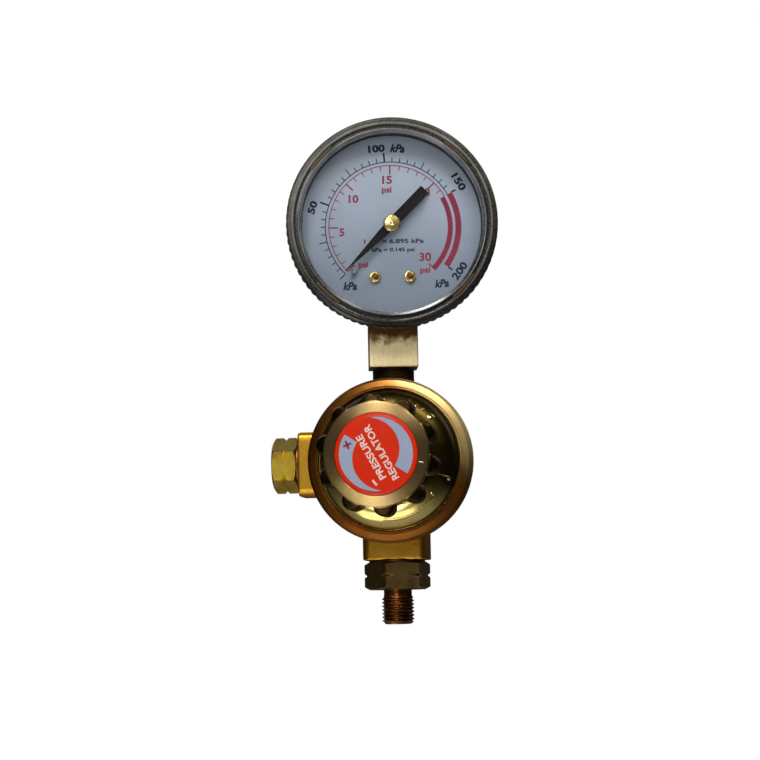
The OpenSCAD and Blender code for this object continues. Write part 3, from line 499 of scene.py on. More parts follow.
# Two cloudy colours of each paint, rubber or plastic, then its roughness, grain and gloss.
PLAINS = {
    # The tick's pale colour is a painted highlight on an engraved nick.
    "tick_painted_highlight": ((0.75, 0.72, 0.62), (0.68, 0.64, 0.54), 0.3, 0.4, 0.05),
    "black_rubber": ((0.018, 0.018, 0.018), (0.025, 0.024, 0.022), 0.55, 0.7, 0.3),
    "nylon": ((0.70, 0.68, 0.60), (0.62, 0.60, 0.52), 0.35, 0.5, 0.1),
    "label_silver": ((0.25, 0.29, 0.41), (0.20, 0.25, 0.36), 0.32, 0.42, 0.05, 0.1),
    "label_white": ((0.62, 0.50, 0.47), (0.55, 0.44, 0.42), 0.35, 0.45, 0.05, 0.1),
    "label_maroon": ((0.18, 0.01, 0.02), (0.13, 0.01, 0.015), 0.35, 0.45, 0.05),
    "case_black": ((0.012, 0.012, 0.012), (0.02, 0.019, 0.017), 0.28, 0.42, 0.15),
    "lug_brown": ((0.055, 0.032, 0.012), (0.035, 0.022, 0.010), 0.25, 0.4, 0.1),
    "print_black": ((0.008, 0.010, 0.022), (0.014, 0.016, 0.03), 0.5, 0.6, 0.05, 0.03),
    "print_red": ((0.100, 0.012, 0.026), (0.14, 0.024, 0.046), 0.5, 0.6, 0.05, 0.03),
    "pointer_black": ((0.004, 0.004, 0.005), (0.007, 0.007, 0.008), 0.45, 0.6, 0.05, 0.05),
}


def make_materials():
    made = [aged_brass(name, **looks) for name, looks in METALS.items()]
    made += [plain(name, *looks) for name, looks in PLAINS.items()]
    made += [ring_material(), bonnet_material(), knob_material(), stem_material(), label_material(),
             clear_material(), rim_material(), dial_material()]
    return {shader.name: shader.material for shader in made}


def plain(name, first, second, rough_low, rough_high, grain, gloss=0.5):
    """Paint, rubber or plastic with slight cloudiness and a fine grain."""
    shader = Shader(name, Specular_IOR_Level=gloss)
    shader.feed("Base Color", shader.mix(shader.noise(0.25, 4), first, second))
    shader.satin(shader.noise(5.0, 4), rough_low, rough_high, grain)
    return shader


def knob_material():
    """Turned brass on the face, dark brown on the drum and its lobes."""
    shader = aged_brass("knob_brass", (0.37, 0.26, 0.11), (0.23, 0.15, 0.06), (0.33, 0.23, 0.09),
                        (0.3, 0.4), (0.45, 0.8), (0.6, 0.8), 0.06, scale=0.08)
    drum = shader.ramp(shader.axis_distance(), 15.0, 15.35)
    return turned(toned(shader, drum, (0.022, 0.013, 0.005)), BODY, 0.3, 0.2, 0.85)


def rim_material():
    """Smoked plastic, darker where its groove shows the case behind, with painted highlights in two light
    bands and painted shade that darkens it towards the bottom.
    """
    shader = Shader("lens_smoke", Coat_Weight=0.4, Coat_Roughness=0.08)
    reach = 32
    share = shader.math("MULTIPLY", shader.axis_distance(GAUGE), 1 / reach)
    bands = shader.node("ShaderNodeValToRGB", {"Fac": share})
    ramp = bands.color_ramp
    # Radius in millimetres and colour of each band. The light bands at 27.4 mm and from 28.9 to 29.4 mm are
    # painted highlights on the bead and the ridge.
    stops = ((26.4, (0.10, 0.115, 0.14)), (27.2, (0.09, 0.095, 0.11)), (27.4, (0.26, 0.27, 0.29)),
             (27.6, (0.02, 0.019, 0.016)), (28.7, (0.012, 0.011, 0.008)), (28.9, (0.16, 0.16, 0.15)),
             (29.4, (0.15, 0.15, 0.14)), (29.6, (0.02, 0.02, 0.02)), (30.2, (0.04, 0.04, 0.034)),
             (30.7, (0.06, 0.058, 0.05)), (31.1, (0.035, 0.034, 0.028)))
    for i, (radius, colour) in enumerate(stops):
        stop = ramp.elements[i] if i < 2 else ramp.elements.new(radius / reach)
        stop.position = radius / reach
        stop.color = (*colour, 1)
    clouds = shader.noise(0.15, 4, 0.5, GAUGE)
    # Painted shade: the rim darkens towards the bottom and brightens towards the upper left.
    painted_shade_below = shader.ramp(shader.along((-0.25, 0, 0.97), GAUGE), -24.0, 16.0, 0.12, 1.0)
    tone = shader.math("MULTIPLY", shader.ramp(clouds, 0.3, 0.75, 1.15, 0.6), painted_shade_below)
    shader.feed("Base Color", shader.shaded(bands.outputs[0], tone))
    shader.feed("Roughness", shader.ramp(shader.noise(2.0, 4, 0.5, GAUGE), 0.3, 0.7, 0.22, 0.36))
    shader.bump(clouds, 0.1, 0.05)
    return shader


def stem_material():
    """Pale sawn brass with brown heat tarnish towards the gauge and a dark neck."""
    shader = Shader("stem_brass", Metallic=0.75)
    height = shader.along((0, 0, 1), GAUGE)
    clouds = shader.noise(0.45, 6, 0.65, GAUGE)
    tarnish = shader.ramp(shader.math("MULTIPLY_ADD", clouds, 9.0, height), -31.5, -27.5)
    streaks = shader.noise(1.2, 4, 0.6, GAUGE, stretch=(1, 1, 0.35))
    colour = shader.mix(shader.ramp(streaks, 0.3, 0.7), (0.96, 0.84, 0.52), (0.88, 0.73, 0.42))
    spots = shader.ramp(shader.noise(1.1, 3, 0.5, GAUGE), 0.62, 0.72)
    colour = shader.mix(shader.math("MULTIPLY", spots, 0.5), colour, (0.40, 0.25, 0.10))
    colour = shader.mix(tarnish, colour, (0.17, 0.080, 0.020))
    neck = shader.ramp(height, -41.75, -41.5, 1.0, 0.0)
    shader.feed("Base Color", shader.mix(neck, colour, (0.05, 0.028, 0.010)))
    shader.feed("Roughness", shader.math("SUBTRACT", shader.ramp(streaks, 0.2, 0.8, 0.38, 0.48),
                                         shader.math("MULTIPLY", neck, 0.32)))
    shader.bump(shader.noise(2.5, 5, 0.6, GAUGE, stretch=(1, 1, 0.4)), 0.25, 0.03)
    return shader


def label_material():
    """Glossy red sticker under a clear dome."""
    shader = Shader("label_red", Coat_Weight=0.1, Coat_Roughness=0.06, Specular_IOR_Level=0.1)
    shader.feed("Base Color", shader.mix(shader.noise(0.15, 3), (0.50, 0.020, 0.002), (0.43, 0.015, 0.002)))
    shader.satin(shader.noise(2.0, 4), 0.32, 0.42, 0.05)
    return shader


def clear_material():
    """Clear plastic; lamps reach through it to what lies behind."""
    tint = (0.95, 0.96, 0.95)
    shader = Shader("lens_clear", Base_Color=tint, Transmission_Weight=1.0, IOR=1.49, Roughness=0.02)
    shader.bump(shader.noise(0.6, 3, 0.5, GAUGE), 0.02, 0.05)
    through = shader.node("ShaderNodeBsdfTransparent", {"Color": opaque(tint)})
    path = shader.node("ShaderNodeLightPath")
    both = shader.node("ShaderNodeMixShader", {0: path.outputs["Is Shadow Ray"],
                                               1: shader.surface.outputs[0], 2: through.outputs[0]})
    shader.links.new(both.outputs[0], shader.output.inputs["Surface"])
    return shader


def dial_material():
    """Pale blue-grey satin paint, with painted shade that makes it darker towards the foot and lighter
    towards the top.
    """
    shader = Shader("dial_print", Specular_IOR_Level=0.1)
    clouds = shader.noise(0.08, 3, 0.5, GAUGE)
    # Painted shade: the paint gets darker towards the foot and lighter towards the top, by height.
    reach = shader.math("MULTIPLY_ADD", clouds, 14.0, shader.along((0, 0, 1), GAUGE))
    colour = shader.mix(shader.ramp(reach, -18.0, 32.0), (0.100, 0.120, 0.162), (0.195, 0.224, 0.290))
    shader.feed("Base Color", colour)
    shader.satin(shader.noise(4.0, 4, 0.6, GAUGE), 0.42, 0.55, 0.06)
    return shader


MATERIALS = make_materials()


# ---- Bonnet, ring and knob ----

def ring_piece():
    """Turned ring nut with a slightly conical face and a thin bright lip."""
    low, high = measured("bonnet_ring", BODY)
    outer, front, back = high.x, low.y, high.y
    lip, bore = 20.6, outer - 1.95
    profile = rounded([
        (lip, front + 1.0), (lip, front + 0.3, 0.1), (lip + 0.25, front, 0.1), (lip + 0.55, front, 0.08),
        (lip + 0.7, front + 0.2, 0.05), (lip + 0.95, front + 0.12, 0.1),
        (outer - 0.7, front + 0.75, 0.4), (outer, front + 1.5, 0.4),
        (outer, back - 0.5, 0.15), (outer - 0.5, back, 0.15), (bore, back), (bore, front + 1.0)])
    bm = lathe(profile, steps=192)
    add_shape(bm, BODY, "bonnet_ring_turned", "ring_brass", "regulator", ["bonnet_ring"])


BELL_FOOT_R = 20.3
BELL_TOP_R = 12.4
BELL_FOOT_Y = -14.4
BELL_TOP_Y = -20.6


def bell_y(radius):
    """Front surface of the bonnet's shoulder at a radius, a quarter of an ellipse."""
    out = min(max((radius - BELL_TOP_R) / (BELL_FOOT_R - BELL_TOP_R), 0), 1)
    return BELL_FOOT_Y + (BELL_TOP_Y - BELL_FOOT_Y) * math.sqrt(1 - out * out)


def bonnet_piece():
    """Bell-shaped bonnet: shoulder, turret and a foot under the ring."""
    low, high = measured("bonnet", BODY)
    turret_r, turret_front, foot_y = 12.2, low.y, high.y
    bore_r, wall_y, inside_r = 4.02, turret_front + 3.2, 10.2
    foot_in_r, foot_out_r, foot_front = 17.0, 21.9, foot_y - 1.5
    profile = [(foot_in_r, foot_y), (foot_out_r, foot_y), (foot_out_r, foot_front),
               (BELL_FOOT_R, foot_front)]
    for degrees in range(0, 88, 4):
        radius = BELL_TOP_R + (BELL_FOOT_R - BELL_TOP_R) * math.cos(math.radians(degrees))
        profile.append((radius, bell_y(radius)))
    profile += rounded([(12.75, BELL_TOP_Y + 0.01), (turret_r, BELL_TOP_Y - 0.8, 0.4),
                        (turret_r, turret_front, 0.8), (bore_r, turret_front), (bore_r, wall_y),
                        (inside_r, wall_y), (inside_r, -18.6), (foot_in_r, -13.5)])
    bm = lathe(profile, steps=192)
    add_shape(bm, BODY, "bonnet_bell", "bonnet_brass", "regulator", ["bonnet"])


def pad(bm, centre_r, half_r, a0, a1, height, steps=None):
    """Raised strip on the bonnet's shoulder between two angles, with round edges."""
    steps = steps or max(6, int(abs(a1 - a0) / 2))
    across = 6
    grid = []
    for i in range(steps + 1):
        row = []
        a = a0 + (a1 - a0) * i / steps
        end = min(i, steps - i) / max(1, min(2, steps / 2))
        for j in range(across + 1):
            r = centre_r + half_r * (2 * j / across - 1)
            lift = height * min(1.0, end) * math.sin(math.pi * j / across) ** 0.5
            x, z = polar(r, a)
            row.append(bm.verts.new((x, bell_y(r) - lift + 0.02, z)))
        grid.append(row)
    under = []
    for row in grid:
        under.append([bm.verts.new((v.co.x, v.co.y + height + 0.3, v.co.z)) for v in row])
    for top, flip in ((grid, False), (under, True)):
        for i in range(steps):
            for j in range(across):
                face = [top[i][j], top[i + 1][j], top[i + 1][j + 1], top[i][j + 1]]
                bm.faces.new(face[::-1] if flip else face)
    rim = ([(i, 0) for i in range(steps + 1)] + [(steps, j) for j in range(1, across + 1)]
           + [(i, across) for i in range(steps - 1, -1, -1)] + [(0, j) for j in range(across - 1, 0, -1)])
    for k, (i, j) in enumerate(rim):
        m, n = rim[(k + 1) % len(rim)]
        bm.faces.new((grid[i][j], grid[m][n], under[m][n], under[i][j]))


def bonnet_marks():
    """Raised turning arrow and position dots on the bonnet's shoulder."""
    bm = bmesh.new()
    # The arrow's shaft and head, then a bar across and a stroke.
    pad(bm, 17.5, 0.42, 264, 321, 0.28)
    pad(bm, 16.7, 0.75, 320.2, 322.4, 0.28, 6)
    pad(bm, 16.6, 2.4, 342.0, 343.4, 0.22, 6)
    pad(bm, 18.8, 0.4, 339.5, 343.2, 0.3, 6)
    # Dots: angle, half their depth in millimetres and half their width in degrees.
    for angle, size, wide in ((42.7, 0.85, 2.8), (53.5, 0.5, 1.4), (60.5, 0.5, 1.4), (68.8, 0.7, 1.2),
                              (92.0, 0.3, 1.6), (97.5, 0.3, 1.4)):
        pad(bm, 17.6, size, angle - wide, angle + wide, 0.3, 6)
    add_shape(bm, BODY, "bonnet_marks", "bright_brass", "regulator", slot="bonnet_brass", limit=50)


KNOB_LOBES = 10
FIRST_LOBE = math.radians(24)


def lobe_radius(angle, root, tip, lobe):
    """Radius of the knob's lobed outline: round lobes that blend into the root."""
    pitch = math.tau / KNOB_LOBES
    off = (angle - FIRST_LOBE + pitch / 2) % pitch - pitch / 2
    centre = tip - lobe
    under = lobe ** 2 - (centre * math.sin(off)) ** 2
    reach = centre * math.cos(off) + math.sqrt(under) if under > 0 else 0.0
    soft = 0.35
    return root + soft * math.log(1 + math.exp((reach - root) / soft))


def knob_piece():
    """Knob: flat turned face, a drum with round lobes and a deep bore behind."""
    low, high = measured("knob", BODY)
    front, back = low.y, high.y
    face_r, label_r, bore_r = 15.0, 11.85, 13.3
    root, tip, lobe, edge = 14.0, 17.6, 2.9, 1.2
    drum_front, wall_y, floor_y = front + 1.4, front + 3.6, front + 0.8

    def outline(angle, radius, along):
        if radius < root - 0.01 or along < drum_front - 0.05:
            return radius
        full = lobe_radius(angle, root, tip, lobe)
        return root + (full - root) * min(1.0, max(0.0, radius - root))

    def swell(t):
        return math.sin(t * math.pi / 2) ** 0.6

    rounding = 8
    quarter = [(k / rounding, k / rounding * math.pi / 2) for k in range(rounding + 1)]
    profile = [(bore_r, wall_y), (bore_r, back), (root, back)]
    profile += [(root + swell(t), back - edge * (1 - math.cos(a))) for t, a in quarter[1:]]
    profile += [(root + swell(1 - t), drum_front + edge * (1 - math.sin(a))) for t, a in quarter[:-1]]
    profile += [(root + 0.02, drum_front)]
    profile += rounded([(face_r - 0.25, drum_front - 0.02), (face_r, front + 1.0, 0.2),
                        (face_r, front, 0.4), (label_r, front, 0.15), (label_r, floor_y)])
    profile += [(4.0, floor_y), (4.0, wall_y)]
    bm = lathe(profile, steps=360, ripple=outline)
    add_shape(bm, BODY, "knob_turned", "knob_brass", "knob", ["knob"])
    bm = bmesh.new()
    # Pale tick on the face: a painted highlight on an engraved nick.
    prism(bm, bar(-11.5, 12.35, 13.6, 0.25), front - 0.03, front + 0.1)
    add_shape(bm, BODY, "knob_index_mark", "tick_painted_highlight", "knob", slot="knob_brass", bevel=0.02)


LABEL_CROWN = 0.31
LABEL_PRINT = (-0.01, 0.06)


def crown_y(radius, front, label_r):
    """Front surface of the label's low dome."""
    return front - LABEL_CROWN * (1 - (radius / label_r) ** 2) - 0.03


def drape(bm, front, label_r, lift):
    """Lays flat print on the label's dome."""
    for v in bm.verts:
        r = math.hypot(v.co.x, v.co.z)
        v.co.y += crown_y(min(r, label_r * 0.999), front, label_r) - lift


def crescent(turn):
    """Outline of a plain arc that widens from a thin tip, the usual sign for more and less."""
    outside_r, tip, wide_end, thin, wide, steps = 10.5, 277.0, 147.0, 0.1, 4.2, 24
    outside, inside = [], []
    for k in range(steps + 1):
        angle = tip + (wide_end - tip) * k / steps + turn
        width = thin + (wide - thin) * math.sin(k / steps * math.pi / 2)
        outside.append(polar(outside_r, angle))
        inside.append(polar(outside_r - width, angle))
    return outside + inside[::-1]


def fill_outline(bm, outline, y0, y1):
    """Thin solid with an outline that may be hollow-sided, cut into small triangles."""
    front = [bm.verts.new((x, y0, z)) for x, z in outline]
    back = [bm.verts.new((x, y1, z)) for x, z in outline]
    for ring in (front, back):
        loop = [bm.edges.new((ring[i], ring[(i + 1) % len(ring)])) for i in range(len(ring))]
        bmesh.ops.triangle_fill(bm, edges=loop, use_beauty=True)
    wall(bm, front, back)


def label_pieces():
    """Red domed label with two crescents, plus and minus signs and two words."""
    low, high = measured("knob_label", BODY)
    label_r = high.x
    front = low.y + 0.4
    rim_r = label_r - 0.35
    dome = [(rim_r * k / 12, crown_y(rim_r * k / 12, front, label_r)) for k in range(13)]
    under = front + 0.75
    edge = [(label_r - 0.1, front + 0.05), (label_r, front + 0.2), (label_r, under), (0.0, under)]
    bm = lathe(dome + edge, steps=128)
    add_shape(bm, BODY, "label_dome", "label_red", "knob", ["knob_label"], limit=50)
    bm = bmesh.new()
    for turn in (0, 180):
        fill_outline(bm, crescent(turn), *LABEL_PRINT)
    bmesh.ops.subdivide_edges(bm, edges=bm.edges, cuts=1)
    drape(bm, front, label_r, 0.03)
    add_shape(bm, BODY, "label_crescents", "label_silver", "knob", slot="label_red")
    bm = bmesh.new()
    add_text(bm, "PRESSURE", 14.1, 2.1, (-1.4, -0.85), 119, *LABEL_PRINT, 0.05)
    add_text(bm, "REGULATOR", 17.4, 2.1, (1.5, 0.45), 118.5, *LABEL_PRINT, 0.05)
    prism(bm, shifted(bar(129, -0.95, 0.95, 0.6), -0.5, -8.1), *LABEL_PRINT)
    drape(bm, front, label_r, 0.04)
    add_shape(bm, BODY, "label_words", "label_white", "knob", slot="label_red")
    bm = bmesh.new()
    for turn in (22, 112):
        prism(bm, shifted(bar(turn, -1.25, 1.25, 0.62), -8.1, 2.75), *LABEL_PRINT)
    drape(bm, front, label_r, 0.06)
    add_shape(bm, BODY, "label_plus", "label_maroon", "knob", slot="label_red")


# ---- Body and fittings ----

def forged_pieces():
    """The forged body, and the sawn stem, with edges softened from the CAD solids."""
    for node, name, material, voxel, rounds in (
            ("regulator_body", "body_forging", "forged_brass", 0.28, 8),
            ("gauge_stem", "stem_bar", "stem_brass", 0.2, 2)):
        mesh = softened(node_copy(node), name, voxel, rounds)
        add_piece(name, mesh, material, "regulator", [node])


def copied_piece(name, node, material, bevel, body="regulator", slot=None, cut=None):
    """A CAD node's shape with its edges rounded. cut = (point, normal) drops what lies past a plane."""
    bm = node_copy(node)
    if cut:
        parts = list(bm.verts) + list(bm.edges) + list(bm.faces)
        done = bmesh.ops.bisect_plane(bm, geom=parts, plane_co=cut[0], plane_no=cut[1], clear_outer=True)
        edges = [e for e in done["geom_cut"] if isinstance(e, bmesh.types.BMEdge)]
        bmesh.ops.holes_fill(bm, edges=edges, sides=0)
    add_shape(bm, Matrix.Identity(4), name, material, body, [node], slot, bevel)


OUTLET_NECK = 10.0


def thread_piece():
    """Left-hand thread of the outlet nipple, with its neck, end chamfer and cone seat."""
    end = measured("outlet_fitting", BODY)[0].z
    thread_r, depth, pitch = 4.7625, 0.6, 25.4 / 24
    root = thread_r - depth
    start, stop = end + 0.1, end + 8.3
    bore_r, seat_r, neck_r, neck_end = 2.2, 3.3, 4.1, end + OUTLET_NECK + 0.3
    profile = [(bore_r, end + 1.1), (seat_r, end)]
    rows = 120
    profile += [(thread_r, start + (stop - start) * k / rows) for k in range(rows + 1)]
    profile += [(neck_r, stop + 0.15), (neck_r, neck_end), (bore_r, neck_end)]

    def helix(angle, radius, along):
        if radius < thread_r - 1e-6:
            return radius
        phase = ((along - end) / pitch + angle / math.tau) % 1.0
        ridge = min(1.0, 1.12 * max(0.0, 1 - abs(phase - 0.5) / 0.42))
        fade = min(1.0, max(0.0, (along - end) / 0.9)) * min(1.0, max(0.0, (stop - along) / 0.8))
        return root - 0.35 * (1 - min(1.0, (along - end) / 0.7)) + depth * ridge * fade

    bm = lathe(profile, 128, "Z", helix)
    add_shape(bm, BODY, "outlet_thread", "thread_copper", "regulator", slot="fitting_brass", limit=60)


def fitting_pieces():
    """Notched hexagon fittings, the outlet thread and the rear cap."""
    copied_piece("inlet_hexagon", "inlet_fitting", "fitting_brass", 0.16)
    neck = BODY @ Vector((0, 0, measured("outlet_fitting", BODY)[0].z + OUTLET_NECK))
    copied_piece("outlet_hexagon", "outlet_fitting", "dark_brass", 0.16, slot="fitting_brass",
                 cut=(neck, (0, 0, -1)))
    thread_piece()
    copied_piece("rear_plug", "rear_cap", "forged_brass", 0.16)


def spring_pieces():
    """Coil springs copied from the CAD nodes; their fixed and moving ends are worked out but not used."""
    for node, mover in (("main_spring", "screw_carriage"), ("valve_spring", "valve")):
        low, high = measured(node, BODY)
        fixed_end, moving_end = BODY @ Vector((0, high.y, 0)), BODY @ Vector((0, low.y, 0))
        copied_piece(node + "_coil", node, "steel", 0, ("regulator", mover, fixed_end, moving_end))


# ---- Gauge ----

def lens_pieces():
    """Clear window, smoked rim with a groove and a ridged skirt, four moulded lugs, and the case."""
    low, high = measured("gauge_lens", GAUGE)
    front, back, rim = low.y, high.y, high.x
    window_r, skirt_in_r, seat_y = 26.5, 30.25, -11.95
    ridges, per_ridge = 80, 8
    outside_y, inside_y = front + 0.4, front + 2.0
    bm = lathe([(0.0, outside_y), (window_r, outside_y), (window_r, inside_y), (0.0, inside_y)], 128)
    add_shape(bm, GAUGE, "lens_window", "lens_clear", "regulator", ["gauge_lens"])

    def ridged(angle, radius, along):
        if radius < rim - 0.05:
            return radius
        return rim - 0.55 + 0.35 * abs(math.cos(angle * ridges / 2)) ** 0.8

    profile = rounded([
        (window_r, front + 0.42), (27.2, front + 0.08, 0.1), (27.5, front, 0.08), (27.65, front + 0.5, 0.1),
        (28.7, front + 0.5, 0.1), (28.85, front + 0.02, 0.1), (29.45, front, 0.1),
        (29.6, front + 0.22, 0.08), (30.3, front + 0.2, 0.15), (30.9, front + 0.7, 0.3),
        (30.9, front + 1.5, 0.1), (rim - 0.45, front + 1.7),
        (rim, front + 1.95), (rim, back - 0.6), (rim - 0.6, back - 0.3), (rim - 0.65, back),
        (skirt_in_r, back), (skirt_in_r, seat_y), (window_r - 0.05, seat_y), (window_r, front + 2.05)], 3)
    bm = lathe(profile, steps=ridges * per_ridge, ripple=ridged)
    add_shape(bm, GAUGE, "lens_rim", "lens_smoke", "regulator", slot="lens_clear", limit=28)
    bm = bmesh.new()
    half = 9
    for angle in (47, 137, 227, 317):
        prism(bm, sector(27.8, 28.6, angle - half, angle + half), front + 0.25, front + 0.6)
    add_shape(bm, GAUGE, "lens_lugs", "lug_brown", "regulator", slot="lens_clear", bevel=0.08)
    copied_piece("case_shell", "gauge_case", "case_black", 0.3)


# Readings are turned into angles of the front view, in degrees.
PSI_FULL, KPA_FULL = 30, 200
ZERO_ANGLE = 225.0
PSI_STEP = 9.0
KPA_STEP = 1.305
PRINT_SHIFT = (-0.2, -0.75)


def psi_angle(value):
    return ZERO_ANGLE - PSI_STEP * value


def kpa_angle(value):
    return ZERO_ANGLE - KPA_STEP * value


def scale_lines(black, red, layer):
    """Arcs, graduation lines and red end bands of both scales."""
    kpa_r, psi_r, line = 19.25, 18.2, 0.26
    kpa_end, psi_end = 150, 21.75

    def draw(bm, outline):
        prism(bm, shifted(outline, *PRINT_SHIFT), *layer)

    draw(black, sector(kpa_r - line / 2, kpa_r + line / 2, kpa_angle(0), kpa_angle(kpa_end)))
    draw(red, sector(psi_r - line / 2, psi_r + line / 2, psi_angle(0), psi_angle(psi_end)))
    for value in list(range(0, kpa_end + 5, 5)) + [KPA_FULL]:
        major, medium = value % 50 == 0 and value > 0, value % 25 == 0
        reach = 2.75 if major else 2.35 if medium else 1.35
        inner = 1.3 if value >= kpa_end else 0
        draw(black, bar(kpa_angle(value), kpa_r + inner, kpa_r + reach, 0.5 if major else 0.28))
    for value in list(range(0, 22)) + [PSI_FULL]:
        reach, width = (2.75, 0.42) if value % 5 == 0 else (1.5, 0.26)
        draw(red, bar(psi_angle(value), psi_r - reach, psi_r, width))
    draw(red, sector(kpa_r - 0.3, kpa_r + 1.45, kpa_angle(kpa_end), kpa_angle(KPA_FULL)))
    draw(red, sector(psi_r - 1.5, psi_r, psi_angle(psi_end), psi_angle(PSI_FULL)))


def dial_prints():
    """Two pressure scales with their numbers and units, and two lines of conversion."""
    face = measured("dial", GAUGE)[0].y
    layer = (face - 0.03, face + 0.02)
    black, red = bmesh.new(), bmesh.new()
    scale_lines(black, red, layer)
    for text, width, height, centre, turn in (
            ("50", 3.9, 2.25, (-23.1, 5.4), 72), ("100", 4.9, 2.25, (-4.0, 22.5), 4.5),
            ("150", 5.4, 2.3, (20.0, 12.3), -59), ("200", 5.7, 2.4, (19.7, -14.0), 54),
            ("kPa", 4.3, 2.5, (2.2, 22.5), -5), ("kPa", 4.1, 2.45, (-12.5, -18.0), 0),
            ("kPa", 4.2, 2.45, (14.4, -17.6), 4)):
        add_text(black, text, width, height, centre, turn, *layer, 0.10, 0.25 if text == "kPa" else 0.0)
    for text, width, height, centre in (
            ("5", 1.5, 2.4, (-14.6, -2.1)), ("10", 2.9, 2.4, (-11.0, 7.7)), ("15", 2.9, 2.4, (-1.05, 13.2)),
            ("20", 2.9, 2.4, (10.0, 9.4)), ("30", 3.5, 2.6, (9.7, -9.7)), ("psi", 2.8, 2.3, (-1.25, 10.0)),
            ("psi", 2.8, 2.3, (-8.5, -12.0)), ("psi", 3.0, 2.4, (9.6, -13.8))):
        add_text(red, text, width, height, centre, 0, *layer, 0.08)
    add_text(black, "1 psi = 6.895 kPa", 17.5, 1.7, (0.6, -5.1), 0, *layer, 0.05)
    add_text(black, "1 kPa = 0.145 psi", 13.8, 1.5, (-0.3, -7.6), 0, *layer, 0.05)
    add_shape(black, GAUGE, "dial_scale_black", "print_black", "regulator", slot="dial_print")
    add_shape(red, GAUGE, "dial_scale_red", "print_red", "regulator", slot="dial_print")


def joined(parts):
    """One bmesh made of several, each with a shift in the front view."""
    whole = bmesh.new()
    for part, x, z in parts:
        bmesh.ops.translate(part, verts=part.verts, vec=(x, 0, z))
        spare = bpy.data.meshes.new("spare")
        part.to_mesh(spare)
        part.free()
        whole.from_mesh(spare)
        bpy.data.meshes.remove(spare)
    return whole


def dial_hardware():
    """Screws, stop pin, pointer and the pointer's cap."""
    low, high = measured("dial_screws", GAUGE)
    head_r, front, height = (high.z - low.z) / 2, low.y, (low.z + high.z) / 2
    shank_r, shank_end = 1.08, front + 5.9
    head = rounded([(0.0, front + 0.6), (0.8, front + 0.6), (0.95, front + 0.2, 0.1), (1.2, front, 0.15),
                    (head_r - 0.15, front + 0.05, 0.2), (head_r, front + 0.45, 0.1),
                    (head_r, front + 0.9), (shank_r, front + 0.9), (shank_r, shank_end),
                    (0.0, shank_end)], 4)
    core = rounded([(0.0, front + 0.12), (0.35, front + 0.1), (0.68, front + 0.3, 0.2), (0.7, front + 0.65),
                    (0.0, front + 0.65)], 4)
    places = (low.x + head_r, high.x - head_r)
    for part, name, material, nodes in ((head, "dial_screw_heads", "bright_brass", ["dial_screws"]),
                                        (core, "dial_screw_cores", "copper", ())):
        bm = joined([(lathe(part), x, height) for x in places])
        add_shape(bm, GAUGE, name, material, "regulator", nodes, limit=50)
    low, high = measured("stop_pin", GAUGE)
    pin_r, ball_r, ball_y = (high.x - low.x) / 2, 0.95, -9.6
    ball = [(0.0, low.y), (pin_r * 0.8, low.y), (pin_r, low.y + 0.1), (pin_r, ball_y - ball_r * 0.93)]
    ball += [(ball_r * math.sin(math.radians(a)), ball_y - ball_r * math.cos(math.radians(a)))
             for a in range(30, 170, 10)]
    ball += [(pin_r, ball_y + ball_r), (pin_r, high.y), (0.0, high.y)]
    bm = joined([(lathe(ball, 32), (low.x + high.x) / 2, (low.z + high.z) / 2)])
    add_shape(bm, GAUGE, "stop_pin_round", "steel", "regulator", ["stop_pin"], limit=50)
    copied_piece("pointer_blade", "pointer", "pointer_black", 0.06, "pointer")
    low, high = measured("pointer_cap", GAUGE)
    cap_r, front, back, hub_r = high.x, low.y, high.y, 0.61
    cap = rounded([(0.0, front + 0.3), (0.35, front + 0.1, 0.15), (0.6, front, 0.1),
                   (cap_r - 0.35, front + 0.22, 0.4), (cap_r, front + 0.55, 0.15), (cap_r, back),
                   (hub_r, back), (hub_r, back - 0.5), (0.0, back - 0.5)], 4)
    bm = lathe(cap, steps=64)
    add_shape(bm, GAUGE, "pointer_cap_turned", "bright_brass", "pointer", ["pointer_cap"], limit=40)


# ---- Stage ----

CAMERA_DISTANCE = 1.0
CAMERA_TURN = 7.1
CAMERA_RISE = 4.8
CAMERA_ROLL = -1.15
LENS = 161.0
AIM_LEFT, AIM_UP = 4.0, 24.5


def make_camera():
    """Long lens a little to the right of the front and a little below it."""
    a, e = math.radians(CAMERA_TURN), math.radians(CAMERA_RISE)
    forward = Vector((-math.sin(a) * math.cos(e), math.cos(a) * math.cos(e), math.sin(e)))
    right = Vector((math.cos(a), math.sin(a), 0))
    up = right.cross(forward)
    aim = BODY.to_translation() - right * AIM_LEFT * MM + up * AIM_UP * MM
    camera = placed("camera", bpy.data.cameras.new("camera"))
    camera.data.lens = LENS
    camera.data.sensor_width = 36
    camera.data.clip_start, camera.data.clip_end = 0.05, 20
    turn = Matrix((right, up, -forward)).transposed().to_4x4()
    camera.matrix_world = (Matrix.Translation(aim - forward * CAMERA_DISTANCE) @ turn
                           @ Matrix.Rotation(math.radians(CAMERA_ROLL), 4, "Z"))
    bpy.context.scene.camera = camera


def softbox(name, azimuth, elevation, distance, width, height, power, colour=(1, 1, 1)):
    """Area light aimed at the object. Azimuth 0 is in front and grows to the right."""
    a, e = math.radians(azimuth), math.radians(elevation)
    away = Vector((math.sin(a) * math.cos(e), -math.cos(a) * math.cos(e), math.sin(e)))
    light = bpy.data.lights.new(name, "AREA")
    light.shape = "RECTANGLE"
    light.size, light.size_y = width, height
    light.energy = power
    light.color = colour
    thing = placed(name, light)
    centre = (cad_low + cad_high) / 2
    thing.location = centre + away * distance
    thing.rotation_mode = "QUATERNION"
    thing.rotation_quaternion = away.to_track_quat("Z", "Y")


